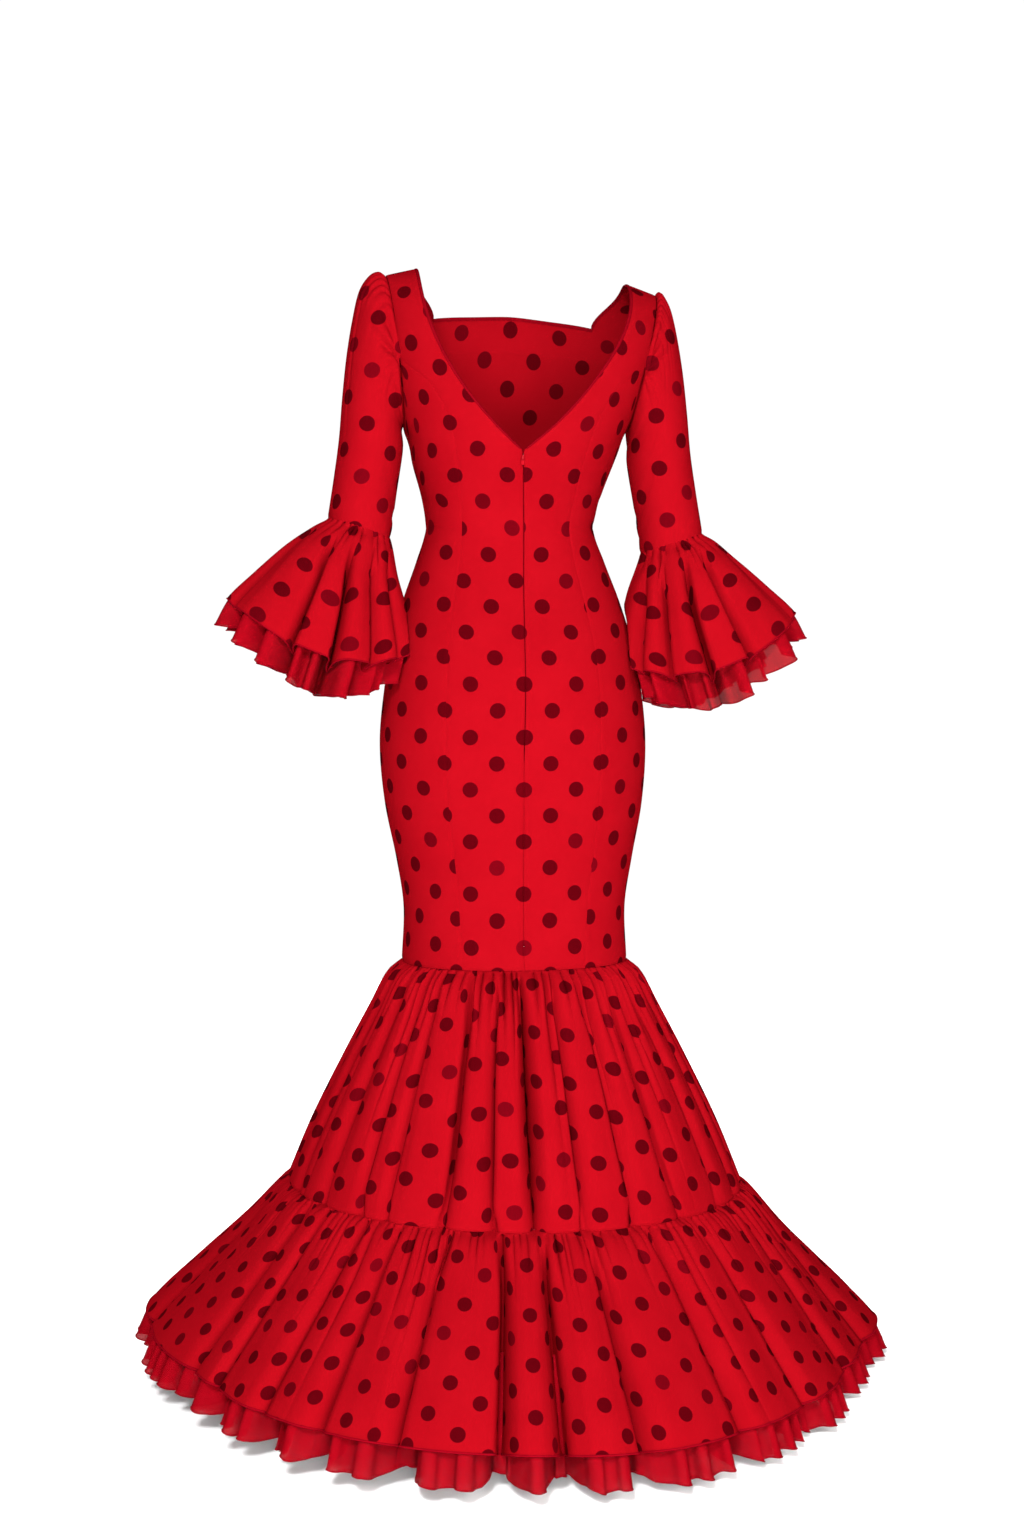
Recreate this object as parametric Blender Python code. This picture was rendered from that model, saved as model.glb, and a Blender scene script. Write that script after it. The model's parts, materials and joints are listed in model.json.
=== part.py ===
"""A worn flamenco dress as separate cloth walls: fitted princess-line body, two gathered skirt tiers,
three-quarter sleeves with bell flounces, organza under-flounces, bound neckline and a centre-back zip.

Metres, +Z up, front facing -Y. The origin lies midway between the two shoulder seams, where the wearer
holds the dress up. Every wall is an outer grid of points and an inner grid one cloth thickness behind it.
"""

import math
from collections import namedtuple

import bmesh
import bpy
from mathutils import Matrix, Vector

# ---------------------------------------------------------------- driving sizes

CLOTH = 0.0015  # thickness of the dotted dress cloth
ORGANZA = 0.0010  # thickness of the crisp under-flounces
SEAM_GAP = 0.0003  # clear distance between two pieces at a seam
HALF_GAP = SEAM_GAP / 2

KNEE_Z = -0.907  # seam between body and upper skirt tier
UNDERARM_Z = -0.205
SHOULDER_ROUND_Z = -0.100  # above this the back and front round over to the shoulder seam
ROUNDNESS = 2.25  # superellipse exponent of the body's sections

NECK_POINT_X = 0.138  # neckline and shoulder seam meet here
TIP_X = 0.178  # shoulder seam and armhole meet here
UNDERARM_X = 0.148
ARMHOLE_DEPTH = 0.055  # half of the armhole, front to back
SHOULDER_SLOPE = 0.27  # fall of the shoulder seam from the neck outwards

BACK_V_Z = -0.2426  # point of the back neckline
BACK_V_CURVE = 2.15  # how much the back neckline bows outwards
FRONT_NECK_Z = -0.056  # level of the front neckline
FRONT_NECK_DIP = 0.006  # its fall towards the centre
FRONT_NECK_X = 0.108  # its lower corner
BACK_SEAM_TOP_Z = -0.120  # back princess seam meets the armhole
FRONT_SEAM_TOP_Z = -0.120

SHOULDER_DROP = 0.006  # the shoulders sit this far below the straight dress
SHOULDER_LEAN = -0.009  # the wearer's weight moves the shoulders this far to the right
SHOULDER_TILT = 0.052  # rise of the left shoulder for each metre across
LEAN_FROM_Z = -0.300

ZIP_OPEN = 0.0010  # each side's roll back at the open top of the zip
ZIP_OPEN_LENGTH = 0.016
ZIP_CLOSE_LENGTH = 0.012
ZIP_END_Z = -0.617
TAPE_WIDTH = 0.011
TAPE = 0.0008
SLIDER_DROP = 0.0085  # pull tab's hinge below the point of the neckline
SLIDER_WIDTH = 0.0056
SLIDER_LENGTH = 0.0090
SLIDER_THICKNESS = 0.0022
BRIDGE_WIDTH = 0.0013  # passes between the two tapes and carries the bail
BAIL_HALF_LENGTH = 0.0028
BAIL_WIRE = 0.0009
BAIL_RISE = 0.0032  # outermost point of the bail, beyond the cloth
HINGE_RISE = 0.00145  # the tab's crossbar, beyond the cloth
CROSSBAR_RADIUS = 0.00045
TAB_WIDTH = 0.0038
TAB_LENGTH = 0.0105
TAB_THICKNESS = 0.0009
TAB_SLOT = 0.0040  # from the crossbar's middle to the slot's lower end
TAB_OUTLINE = ((0.78, 0.0), (0.80, 0.25), (0.90, 0.50), (1.0, 0.70), (0.92, 0.87), (0.55, 0.97), (0.15, 1.0))

BINDING_WIDTH = 0.0055
BINDING = 0.0009
BINDING_GAP = 0.0006

# ---------------------------------------------------------------- sections of the body, knee to shoulder
# shift moves a section sideways; back_seam and front_seam are the princess seams' distances from centre.

Section = namedtuple("Section", "z half_width back front shift back_seam front_seam")
BODY = (
    Section(-0.907, 0.1500, 0.120, 0.112, 0.000, 0.080, 0.078),
    Section(-0.835, 0.1475, 0.117, 0.110, 0.000, 0.083, 0.080),
    Section(-0.771, 0.1570, 0.122, 0.112, 0.000, 0.089, 0.084),
    Section(-0.697, 0.1710, 0.132, 0.114, 0.001, 0.097, 0.088),
    Section(-0.617, 0.1765, 0.139, 0.115, 0.002, 0.100, 0.090),
    Section(-0.537, 0.1690, 0.134, 0.116, 0.002, 0.098, 0.088),
    Section(-0.484, 0.1590, 0.121, 0.114, 0.003, 0.093, 0.084),
    Section(-0.431, 0.1435, 0.103, 0.109, 0.004, 0.084, 0.077),
    Section(-0.378, 0.1240, 0.088, 0.102, 0.005, 0.074, 0.069),
    Section(-0.338, 0.1115, 0.083, 0.100, 0.006, 0.070, 0.066),
    Section(-0.298, 0.1175, 0.090, 0.117, 0.004, 0.074, 0.074),
    Section(-0.250, 0.1330, 0.102, 0.137, 0.002, 0.083, 0.088),
    Section(-0.205, 0.1480, 0.109, 0.133, 0.000, 0.095, 0.096),
    Section(-0.160, 0.1640, 0.113, 0.122, 0.000, 0.120, 0.116),
    Section(-0.120, 0.1760, 0.114, 0.112, 0.000, 0.1604, 0.1604),
    Section(-0.100, 0.1800, 0.113, 0.107, 0.000, 0.1604, 0.1604),
)

# ---------------------------------------------------------------- sleeves, armhole to cuff, then flounce
# Each ring runs between its inner point (towards the body) and its outer point; half_depth is along Y.
# sag lowers a ring's front and back below the line between the two points.

Ring = namedtuple("Ring", "inner_x inner_z outer_x outer_z half_depth middle_y sag")
SLEEVE = (
    Ring(0.1492, -0.2085, 0.1860, 0.0020, 0.0590, 0.000, 0.0),
    Ring(0.1500, -0.2135, 0.1950, -0.0120, 0.0600, 0.000, 0.0),
    Ring(0.1503, -0.2170, 0.2060, -0.0370, 0.0595, 0.001, 0.0),
    Ring(0.1505, -0.2215, 0.2145, -0.0720, 0.0580, 0.001, 0.0),
    Ring(0.1495, -0.2280, 0.2225, -0.1200, 0.0555, 0.002, 0.0),
    Ring(0.1490, -0.2380, 0.2285, -0.1750, 0.0525, 0.004, 0.0),
    Ring(0.1510, -0.2560, 0.2330, -0.2280, 0.0500, 0.006, 0.0),
    Ring(0.1585, -0.3030, 0.2400, -0.2790, 0.0480, 0.009, 0.0),
    Ring(0.1660, -0.3600, 0.2487, -0.3340, 0.0460, 0.012, 0.0),
)
FlounceRing = namedtuple("FlounceRing", "along " + " ".join(Ring._fields))
SLEEVE_FLOUNCE = (
    FlounceRing(0.00, 0.1660, -0.3600, 0.2487, -0.3340, 0.0460, 0.012, 0.000),
    FlounceRing(0.12, 0.1610, -0.3780, 0.2670, -0.3440, 0.0570, 0.016, 0.002),
    FlounceRing(0.40, 0.1500, -0.4180, 0.3020, -0.3710, 0.0740, 0.024, 0.010),
    FlounceRing(0.70, 0.1380, -0.4640, 0.3390, -0.4040, 0.0880, 0.032, 0.024),
    FlounceRing(1.00, 0.1290, -0.5060, 0.3740, -0.4380, 0.0990, 0.040, 0.038),
    FlounceRing(1.27, 0.1380, -0.5440, 0.3940, -0.4730, 0.1030, 0.042, 0.050),
)
SLEEVE_LEAN = -0.002  # both sleeves hang this far to the right
FLOUNCE_SWING = 0.005  # both sleeve flounces swing this far to the left
SLEEVE_TILT = 0.008  # the left sleeve hangs this much higher, the right one lower
SLEEVE_COLUMNS = 20
SLEEVE_HANG_RINGS = 3  # rings over which a sleeve goes from the shoulder's stance to hanging freely
SLEEVE_FOLD_DEPTH = 0.022
FOLDS_GROWN_AT = 0.5  # share of a flounce at which its folds reach their full depth
SWING_GROWN_AT = 0.4
HIP_CLEARANCE = 0.004  # between the sleeve flounces and the hip that they rest against
FLATTENED_BY = 0.020  # a fold pushed this far by the hip is pressed flat

# ---------------------------------------------------------------- skirt tiers
# along runs 0 to 1 from seam to hem, and past 1 to the hem of the organza below it.

Tier = namedtuple("Tier", "along z half_width back front roundness fold_depth")
UPPER_TIER = (
    Tier(0.00, -0.9073, 0.1500, 0.120, 0.112, 2.25, 0.000),
    Tier(0.06, -0.9230, 0.1690, 0.141, 0.132, 2.20, 0.005),
    Tier(0.20, -0.9650, 0.1920, 0.166, 0.158, 2.10, 0.012),
    Tier(0.45, -1.0350, 0.2290, 0.206, 0.198, 2.05, 0.018),
    Tier(0.75, -1.1220, 0.2720, 0.253, 0.243, 2.00, 0.020),
    Tier(1.00, -1.2020, 0.3050, 0.290, 0.277, 2.00, 0.008),
)
LOWER_TIER = (
    Tier(0.00, -1.2023, 0.3050, 0.290, 0.277, 2.00, 0.008),
    Tier(0.06, -1.2110, 0.3250, 0.312, 0.299, 2.00, 0.013),
    Tier(0.30, -1.2600, 0.3770, 0.370, 0.354, 2.00, 0.023),
    Tier(0.62, -1.3220, 0.4350, 0.444, 0.419, 2.00, 0.031),
    Tier(1.00, -1.3900, 0.4850, 0.514, 0.478, 2.00, 0.038),
    Tier(1.17, -1.4280, 0.5010, 0.534, 0.498, 2.00, 0.038),
)
ORGANZA_HANG = 0.0015  # how far the organza's hem hangs behind the cloth above it
HEM_PLEAT, SLEEVE_PLEAT = 0.010, 0.004  # depth of the organza's own pleats
FOLD_LEAN = 0.16  # crests lean over the valleys beside them by this share of half a fold at the hem
# How far the lower tier's hem reaches out in each direction, as a share of its ring; it falls closer at its back left.
Reach = namedtuple("Reach", "degrees share")
HEM_REACH = (
    Reach(-120, 1.00),
    Reach(-60, 1.00),
    Reach(-12, 1.015),
    Reach(12, 0.985),
    Reach(28, 0.965),
    Reach(45, 0.995),
    Reach(65, 1.005),
    Reach(85, 1.00),
    Reach(102, 1.005),
    Reach(120, 0.970),
    Reach(138, 0.940),
    Reach(158, 0.925),
    Reach(170, 0.970),
    Reach(180, 1.00),
    Reach(240, 1.00),
)
HEM_SWAY = -0.002  # the hem swings this far to the right
HEM_TILT = 0.027  # and rises this much for each metre towards the left
SWAY_DROP = 0.45  # both grow over this much height below the knee seam
OWN_FOLDS_BY = 0.2  # share of the lower tier in which the upper tier's folds give way to its own

# Folds round each gathered edge, as degrees of its ring, from the left side over the back to the right side.
# The front's folds follow from a mean width and a slow variation.
UPPER_FOLDS = (18, 14, 14, 14.5, 7, 13.5, 14, 9, 11, 12.5, 16.5, 14, 12, 11, 16)
LOWER_FOLDS = (21, 23.5, 7.5, 12.5, 9.5, 12, 11.5, 10.5, 9.5, 15.5, 15, 18, 15, 20)
SLEEVE_FOLDS = (52, 40, 28, 30, 28, 68, 42, 36, 36)
UPPER_START, LOWER_START, SLEEVE_START = -16.0, -18.0, -30.0
FRONT_VARIATION = 0.22

FOLD_STEPS = (-1.0, -0.62, -0.2, 0.2, 0.62)  # places across one fold, valley to valley, as shares of half

COLOURS = {
    "dress_cloth": ((0.60, 0.010, 0.018), 0.75, 0.0),
    "organza": ((0.50, 0.008, 0.020), 0.45, 0.0),
    "binding": ((0.34, 0.004, 0.010), 0.60, 0.0),
    "zip_tape": ((0.36, 0.006, 0.012), 0.80, 0.0),
    "zip_metal": ((0.62, 0.020, 0.035), 0.35, 0.2),
}

Point = namedtuple("Point", "outer inner")

SEAM_MIDDLE_X = (NECK_POINT_X + TIP_X) / 2
HELD_AT = Vector((SHOULDER_LEAN, 0, SHOULDER_SLOPE * (NECK_POINT_X - SEAM_MIDDLE_X) - SHOULDER_DROP))


# ---------------------------------------------------------------- helpers


def smooth(share):
    """Eases from 0 to 1 as share goes from 0 to 1."""
    share = min(max(share, 0.0), 1.0)
    return share * share * (3 - 2 * share)


def mix(a, b, share):
    return a + (b - a) * share


def read(table, key, column, at):
    """A column of a table at a place along its key, through its rows with a smooth curve."""
    rows = sorted(table, key=lambda row: getattr(row, key))
    places = [getattr(row, key) for row in rows]
    values = [getattr(row, column) for row in rows]
    at = min(max(at, places[0]), places[-1])
    last = max(i for i in range(len(places) - 1) if places[i] <= at)

    def slope(i):
        low, high = max(i - 1, 0), min(i + 1, len(places) - 1)
        return (values[high] - values[low]) / (places[high] - places[low])

    width = places[last + 1] - places[last]
    t = (at - places[last]) / width
    return (
        values[last] * (1 + 2 * t) * (1 - t) ** 2
        + slope(last) * width * t * (1 - t) ** 2
        + values[last + 1] * t * t * (3 - 2 * t)
        + slope(last + 1) * width * t * t * (t - 1)
    )


def material(name):
    colour, roughness, metallic = COLOURS[name]
    made = bpy.data.materials.get(name) or bpy.data.materials.new(name)
    made.use_nodes = True
    shader = made.node_tree.nodes["Principled BSDF"]
    shader.inputs["Base Color"].default_value = (*colour, 1)
    shader.inputs["Roughness"].default_value = roughness
    shader.inputs["Metallic"].default_value = metallic
    made.diffuse_color = (*colour, 1)
    return made


def add_object(name, mesh, finish):
    made = bpy.data.objects.new(name, mesh)
    mesh.transform(Matrix.Translation(-HELD_AT))
    mesh.materials.append(material(finish))
    mesh.shade_smooth()
    mesh.set_sharp_from_angle(angle=math.radians(50))
    DRESS.objects.link(made)
    return made


def add_wall(name, grids, finish, closed=False):
    """A cloth wall: grids laid through their rows' outer points, joined, and extruded through to the inner ones."""
    bm = bmesh.new()
    place = bm.verts.layers.int.new("place")
    points = []
    for rows in grids:
        wide = len(rows[0])
        columns = wide + (1 if closed else 0)
        sheet = bmesh.ops.create_grid(bm, x_segments=columns - 1, y_segments=len(rows) - 1, size=1)["verts"]
        for vert in sheet:
            column = round((vert.co.x + 1) / 2 * (columns - 1)) % wide
            row = round((vert.co.y + 1) / 2 * (len(rows) - 1))
            vert[place] = len(points) + row * wide + column
            vert.co = rows[row][column].outer
        points += [point for row in rows for point in row]
    bmesh.ops.triangulate(bm, faces=bm.faces[:], quad_method="FIXED")
    if len(grids) > 1:
        bmesh.ops.remove_doubles(bm, verts=bm.verts[:], dist=1e-6)
    grown = bmesh.ops.extrude_face_region(bm, geom=bm.faces[:], use_keep_orig=True)
    for vert in grown["geom"]:
        if isinstance(vert, bmesh.types.BMVert):
            vert.co = points[vert[place]].inner
    if closed:
        ends = [face for face in bm.faces if all(vert[place] % wide == 0 for vert in face.verts)]
        bmesh.ops.delete(bm, geom=ends, context="FACES")
        bmesh.ops.remove_doubles(bm, verts=bm.verts[:], dist=1e-6)
    bmesh.ops.recalc_face_normals(bm, faces=bm.faces[:])
    mesh = bpy.data.meshes.new(name)
    bm.to_mesh(mesh)
    bm.free()
    return add_object(name, mesh, finish)


def normals(grid, closed):
    """Unit normals of a grid of points, by the differences between neighbours."""
    high, wide = len(grid), len(grid[0])
    found = []
    for r in range(high):
        line = []
        for c in range(wide):
            if closed:
                across = grid[r][(c + 1) % wide] - grid[r][c - 1]
            else:
                across = grid[r][min(c + 1, wide - 1)] - grid[r][max(c - 1, 0)]
            along = grid[min(r + 1, high - 1)][c] - grid[max(r - 1, 0)][c]
            line.append(across.cross(along).normalized())
        found.append(line)
    return found


def thicken(grid, closed, thickness, outwards, seams=None):
    """Rows of Points whose inner grid lies one thickness behind the outer one.

    seams gives, for a row, the normal of the plane of its seam, and that row's edge is kept in the plane.
    """
    turned = normals(grid, closed)
    for row, across in (seams or {}).items():
        turned[row] = [(n - across * n.dot(across)).normalized() for n in turned[row]]
    return [
        [Point(p, p - n * thickness * outwards) for p, n in zip(line, facing)]
        for line, facing in zip(grid, turned)
    ]


# ---------------------------------------------------------------- the body's surface


def armhole_at(z):
    """(x, y) of the left armhole's back half at a height; its front half has -y."""
    middle = UNDERARM_Z / 2
    up = min(max((z - middle) / -middle, -1.0), 1.0)
    return (
        mix(UNDERARM_X, TIP_X, (up + 1) / 2),
        ARMHOLE_DEPTH * math.sqrt(1 - up * up),
    )


def depth_at(z, back):
    """How far a section reaches to the back or the front at its middle."""
    column = "back" if back else "front"
    if z <= SHOULDER_ROUND_Z:
        return read(BODY, "z", column, z)
    round_off = 1 - z / SHOULDER_ROUND_Z
    return read(BODY, "z", column, SHOULDER_ROUND_Z) * math.sqrt(max(0.0, 1 - round_off**2))


def half_width_at(z, back):
    """Half of a section's width. Above the underarm it is the width whose section passes through the armhole."""
    if z <= UNDERARM_Z:
        return read(BODY, "z", "half_width", z)
    x, y = armhole_at(min(z, -1e-6))
    share = y / depth_at(min(z, -1e-6), back)
    return x / (1 - share**ROUNDNESS) ** (1 / ROUNDNESS)


def turn_of(x, z, back):
    """A place round a section, 0 at the side and 90 degrees at centre back or centre front."""
    share = min(abs(x) / half_width_at(z, back), 1.0)
    return math.acos(share ** (ROUNDNESS / 2))


def on_body(turn, z, back, side):
    """A point of the straight dress's outer face."""
    power = 2 / ROUNDNESS
    x = half_width_at(z, back) * max(math.cos(turn), 0.0) ** power
    y = depth_at(z, back) * math.sin(turn) ** power
    return Vector((side * x, y if back else -y, z))


def body_normal(turn, z, back, side):
    """Outward normal, the same for every piece that meets there."""
    if z > -1e-4:
        return Vector((0, 0, 1))
    step = 1e-3
    z_low, z_high = z - step, min(z + step, -1e-5)
    along = on_body(turn, z_high, back, side) - on_body(turn, z_low, back, side)
    lean = math.atan2(along.dot(Vector((0, 1 if back else -1, 0))), along.z)
    edge = math.radians(0.5)
    turn_low, turn_high = max(turn - edge, 0.0), min(turn + edge, math.pi / 2)
    across = on_body(turn_high, z, back, side) - on_body(turn_low, z, back, side)
    facing = across.cross(along) * side * (1 if back else -1)
    if turn < edge:
        facing.y = 0
    if turn > math.pi / 2 - edge:
        facing.x = 0
        facing.z = -math.sin(lean)
        facing.y = (1 if back else -1) * math.cos(lean)
    return facing.normalized()


def posed(point):
    """Moves a point of the straight dress to the wearer's stance."""
    x, y, z = point
    lean = smooth((z - LEAN_FROM_Z) / -LEAN_FROM_Z)
    rise = smooth((z - UNDERARM_Z) / -UNDERARM_Z)
    return Vector(
        (
            x + read(BODY, "z", "shift", z) + SHOULDER_LEAN * lean,
            y,
            z + rise * (SHOULDER_SLOPE * (NECK_POINT_X - abs(x)) + SHOULDER_TILT * x - SHOULDER_DROP),
        )
    )


def body_point(turn, z, back, side):
    """A Point of the body's wall."""
    place, facing = on_body(turn, z, back, side), body_normal(turn, z, back, side)
    return Point(posed(place), posed(place - facing * CLOTH))


def seam_x(z, back):
    """Distance of the princess seam from centre; above its top end it is the armhole."""
    top = BACK_SEAM_TOP_Z if back else FRONT_SEAM_TOP_Z
    if z >= top:
        return armhole_at(z)[0]
    return min(read(BODY, "z", "back_seam" if back else "front_seam", z), armhole_at(max(z, UNDERARM_Z))[0])


def neck_x(z):
    """Distance of the back neckline from centre, or the zip's edge below it."""
    if z <= BACK_V_Z:
        closing = (BACK_V_Z - z - ZIP_OPEN_LENGTH) / ZIP_CLOSE_LENGTH
        return HALF_GAP + ZIP_OPEN * (1 - smooth(closing))
    up = (z - BACK_V_Z) / -BACK_V_Z
    return max(NECK_POINT_X * (1 - (1 - up) ** BACK_V_CURVE), HALF_GAP + ZIP_OPEN)


def binding_reach(z):
    """Distance across the back panel, at one height, to the binding's inner edge."""
    if z <= BACK_V_Z:
        return BINDING_WIDTH
    step = 1e-3
    slope = (neck_x(min(z + step, 0.0)) - neck_x(z - step)) / (min(z + step, 0.0) - z + step)
    return BINDING_WIDTH * math.sqrt(1 + slope * slope)


# ---------------------------------------------------------------- the body's panels


def over_shoulder(degrees):
    """Height of a place on the shoulder's rounding, from 0 degrees at its foot to 90 at the seam."""
    return SHOULDER_ROUND_Z * (1 - math.sin(math.radians(degrees)))


LOW_ROWS = (KNEE_Z, -0.835, -0.771, -0.697, ZIP_END_Z, -0.537, -0.484, -0.431, -0.378, -0.338, -0.298)
ZIP_TOP_Z = BACK_V_Z - 0.002
ZIP_ROWS = (BACK_V_Z - ZIP_OPEN_LENGTH - ZIP_CLOSE_LENGTH, BACK_V_Z - ZIP_OPEN_LENGTH, ZIP_TOP_Z, BACK_V_Z)
SHOULDER_ROWS = tuple(over_shoulder(degrees) for degrees in (0, 30, 45, 60, 75)) + (0.0,)
BACK_ROWS = (*LOW_ROWS, *ZIP_ROWS, -0.222, -0.190, -0.155, BACK_SEAM_TOP_Z, *SHOULDER_ROWS)
FRONT_LEVELS = (-0.250, -0.205, -0.165, -0.142, FRONT_SEAM_TOP_Z, -0.090, FRONT_NECK_Z - BINDING_WIDTH, FRONT_NECK_Z)
FRONT_ROWS = (*LOW_ROWS, *FRONT_LEVELS)
STRAP_ROWS = (FRONT_NECK_Z, FRONT_NECK_Z + BINDING_WIDTH, *(over_shoulder(degrees) for degrees in (45, 60, 75)), 0.0)


def turn_with_gap(x, z, back, move):
    """The place round a section of a seam at x, moved along the cloth towards centre by move metres."""
    turn = turn_of(x, z, back)
    step = math.radians(0.2)
    here, there = on_body(turn, z, back, 1), on_body(min(turn + step, math.pi / 2), z, back, 1)
    if turn + step > math.pi / 2:
        here, there = on_body(turn - step, z, back, 1), on_body(turn, z, back, 1)
    return turn + move * step / max((there - here).length, 1e-6)


def back_centre(side):
    """Centre-back panel of one side, from the knee seam to the shoulder seam."""
    rows = []
    for z in BACK_ROWS:
        if z == 0.0:
            reach = BINDING_WIDTH / (TIP_X - NECK_POINT_X)
            xs = [mix(NECK_POINT_X, TIP_X, share) for share in (0, reach, 1 / 2, 3 / 4, 1)]
            line = [Vector((side * x, HALF_GAP, 0.0)) for x in xs]
            rows.append([Point(posed(p), posed(p - Vector((0, 0, CLOTH)))) for p in line])
            continue
        low = turn_with_gap(seam_x(z, True), z, True, HALF_GAP)
        high = turn_of(neck_x(z), z, True)
        bound = turn_of(neck_x(z) + binding_reach(z), z, True)
        turns = [high, bound, mix(bound, low, 1 / 3), mix(bound, low, 2 / 3), low]
        rows.append([body_point(turn, z, True, side) for turn in turns])
    return rows


def side_top(share, back):
    """Height where the column at this share of a side panel's width meets the armhole."""
    low, high = UNDERARM_Z, BACK_SEAM_TOP_Z if back else FRONT_SEAM_TOP_Z
    for _ in range(40):
        middle = (low + high) / 2
        edge = turn_of(armhole_at(middle)[0], middle, back)
        if edge < share * turn_of(seam_x(middle, back), middle, back):
            low = middle
        else:
            high = middle
    return low


def side_panel(side, back):
    """Side-back or side-front panel, from the knee seam to the lower armhole."""
    columns = 4
    rows = []
    base = LOW_ROWS[-1]
    top = BACK_SEAM_TOP_Z if back else FRONT_SEAM_TOP_Z
    tops = [side_top(c / columns, back) for c in range(columns)] + [top]
    for level in (z for z in (BACK_ROWS if back else FRONT_ROWS) if z <= top):
        line = []
        for c in range(columns + 1):
            z = mix(base, tops[c], max((level - base) / (top - base), 0.0)) if level > base else level
            seam = turn_with_gap(seam_x(z, back), z, back, -HALF_GAP)
            line.append(body_point(mix(0.0, seam, c / columns), z, back, side))
        rows.append(open_side_seam(line, back))
    return rows


def open_side_seam(line, back):
    """Moves the side edge of a row half a gap away from the side seam."""
    shift = Vector((0, HALF_GAP if back else -HALF_GAP, 0))
    return [Point(line[0].outer + shift, line[0].inner + shift), *line[1:]]


CORNER = 3  # column of the front panel, counted from its centre, at the neckline's lower corner


def front_line(z, side, columns_from):
    """One row of a half of the centre-front panel, from its centre or from the neckline outwards."""
    if z == 0.0:
        reach = BINDING_WIDTH / (TIP_X - NECK_POINT_X)
        xs = [mix(NECK_POINT_X, TIP_X, share) for share in (0, reach, 0.6, 1)]
        line = [Vector((side * x, -HALF_GAP, 0.0)) for x in xs]
        return [Point(posed(p), posed(p - Vector((0, 0, CLOTH)))) for p in line]
    low = turn_with_gap(seam_x(z, False), z, False, HALF_GAP)
    seam = on_body(low, z, False, 1).x
    up = smooth((z - FRONT_NECK_Z) / -FRONT_NECK_Z)
    edge = mix(FRONT_NECK_X, NECK_POINT_X, up) if z > FRONT_NECK_Z else FRONT_NECK_X
    corner = edge * min(seam / armhole_at(max(z, FRONT_NECK_Z))[0], 1.0)
    reach = BINDING_WIDTH * min(seam / armhole_at(FRONT_NECK_Z)[0], 1.0)
    bound = corner + reach
    xs = [0.0, (corner - reach) / 2, corner - reach, corner, bound, mix(bound, seam, 0.55)]
    line = []
    for x in xs[columns_from:]:
        dip = FRONT_NECK_DIP * smooth((z - FRONT_SEAM_TOP_Z) / (FRONT_NECK_Z - FRONT_SEAM_TOP_Z))
        level = z - dip * (1 - smooth(x / corner)) if z <= FRONT_NECK_Z else z
        line.append(body_point(turn_of(x, level, False), level, False, side))
    return [*line, body_point(low, z, False, side)]


def front_centre():
    """Centre-front panel in three joined grids: the body below the neckline and a strap on each side of it."""
    body = []
    for z in FRONT_ROWS:
        left, right = front_line(z, 1, 0), front_line(z, -1, 0)
        body.append([*reversed(right[1:]), *left])
    return body, *([front_line(z, side, CORNER) for z in STRAP_ROWS] for side in (1, -1))


# ---------------------------------------------------------------- folds


def fold_edges(widths, start):
    """Fold boundaries in degrees all the way round: the given widths, then the rest in slowly varied ones."""
    left = 360.0 - sum(widths)
    if left > 1:
        count = round(left / (sum(widths) / len(widths)))
        varied = [1 + FRONT_VARIATION * math.sin(2.4 * i) for i in range(count)]
        widths = [*widths, *(left * v / sum(varied) for v in varied)]
    edges = [start]
    for width in widths:
        edges.append(edges[-1] + width * 360.0 / (sum(widths)))
    return edges


def fold_columns(widths, start, steps=FOLD_STEPS):
    """(angle, phase, width) of each column round a gathered ring, angles in radians; a phase of +-1 is a valley."""
    edges = fold_edges(widths, start)
    return [
        (math.radians(mix(low, high, (step + 1) / 2)), step, math.radians(high - low))
        for low, high in zip(edges, edges[1:])
        for step in steps
    ]


def valley(phase):
    """0 along the broad crest of a fold and 1 at the bottom of the narrow valley beside it."""
    return abs(math.sin(phase * math.pi / 2)) ** 3


def leaned(angle, phase, width, share):
    """Moves a place round a ring so that the crest's sides hang over the valleys."""
    return angle + math.sin(math.pi * phase) * width / 2 * share


# ---------------------------------------------------------------- skirt tiers


def tier_point(table, angle, phase, along):
    """A point of a tier's outer face. angle 0 is the left side, 90 degrees the centre back."""
    power = 2 / read(table, "along", "roundness", along)
    column = "back" if math.sin(angle) > 0 else "front"
    cos, sin = math.cos(angle), math.sin(angle)
    reach = 1.0
    if table is LOWER_TIER:
        degrees = (math.degrees(angle) + 120.0) % 360.0 - 120.0
        reach = mix(1.0, read(HEM_REACH, "degrees", "share", degrees), smooth(along))
    x = math.copysign(abs(cos) ** power, cos) * read(table, "along", "half_width", along) * reach
    y = math.copysign(abs(sin) ** power, sin) * read(table, "along", column, along) * reach
    inwards = -Vector((x, y, 0)).normalized()
    return Vector((x, y, read(table, "along", "z", along))) + inwards * (
        valley(phase) * read(table, "along", "fold_depth", along)
    )


def swayed(point):
    """Swings the lower skirt sideways and tips its hem."""
    share = smooth((KNEE_Z - point.z) / SWAY_DROP)
    return Vector((point.x + HEM_SWAY * share, point.y, point.z + HEM_TILT * share * point.x))


def upper_seam_depth(angle):
    """How far the upper tier's lower edge lies inside its ring at an angle, so that the lower tier can follow it."""
    degrees = math.degrees(angle) % 360.0
    edges = fold_edges(UPPER_FOLDS, UPPER_START)
    degrees += 360.0 if degrees < edges[0] else 0.0
    for low, high in zip(edges, edges[1:]):
        if low <= degrees <= high:
            return valley(2 * (degrees - low) / (high - low) - 1)
    return 0.0


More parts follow.
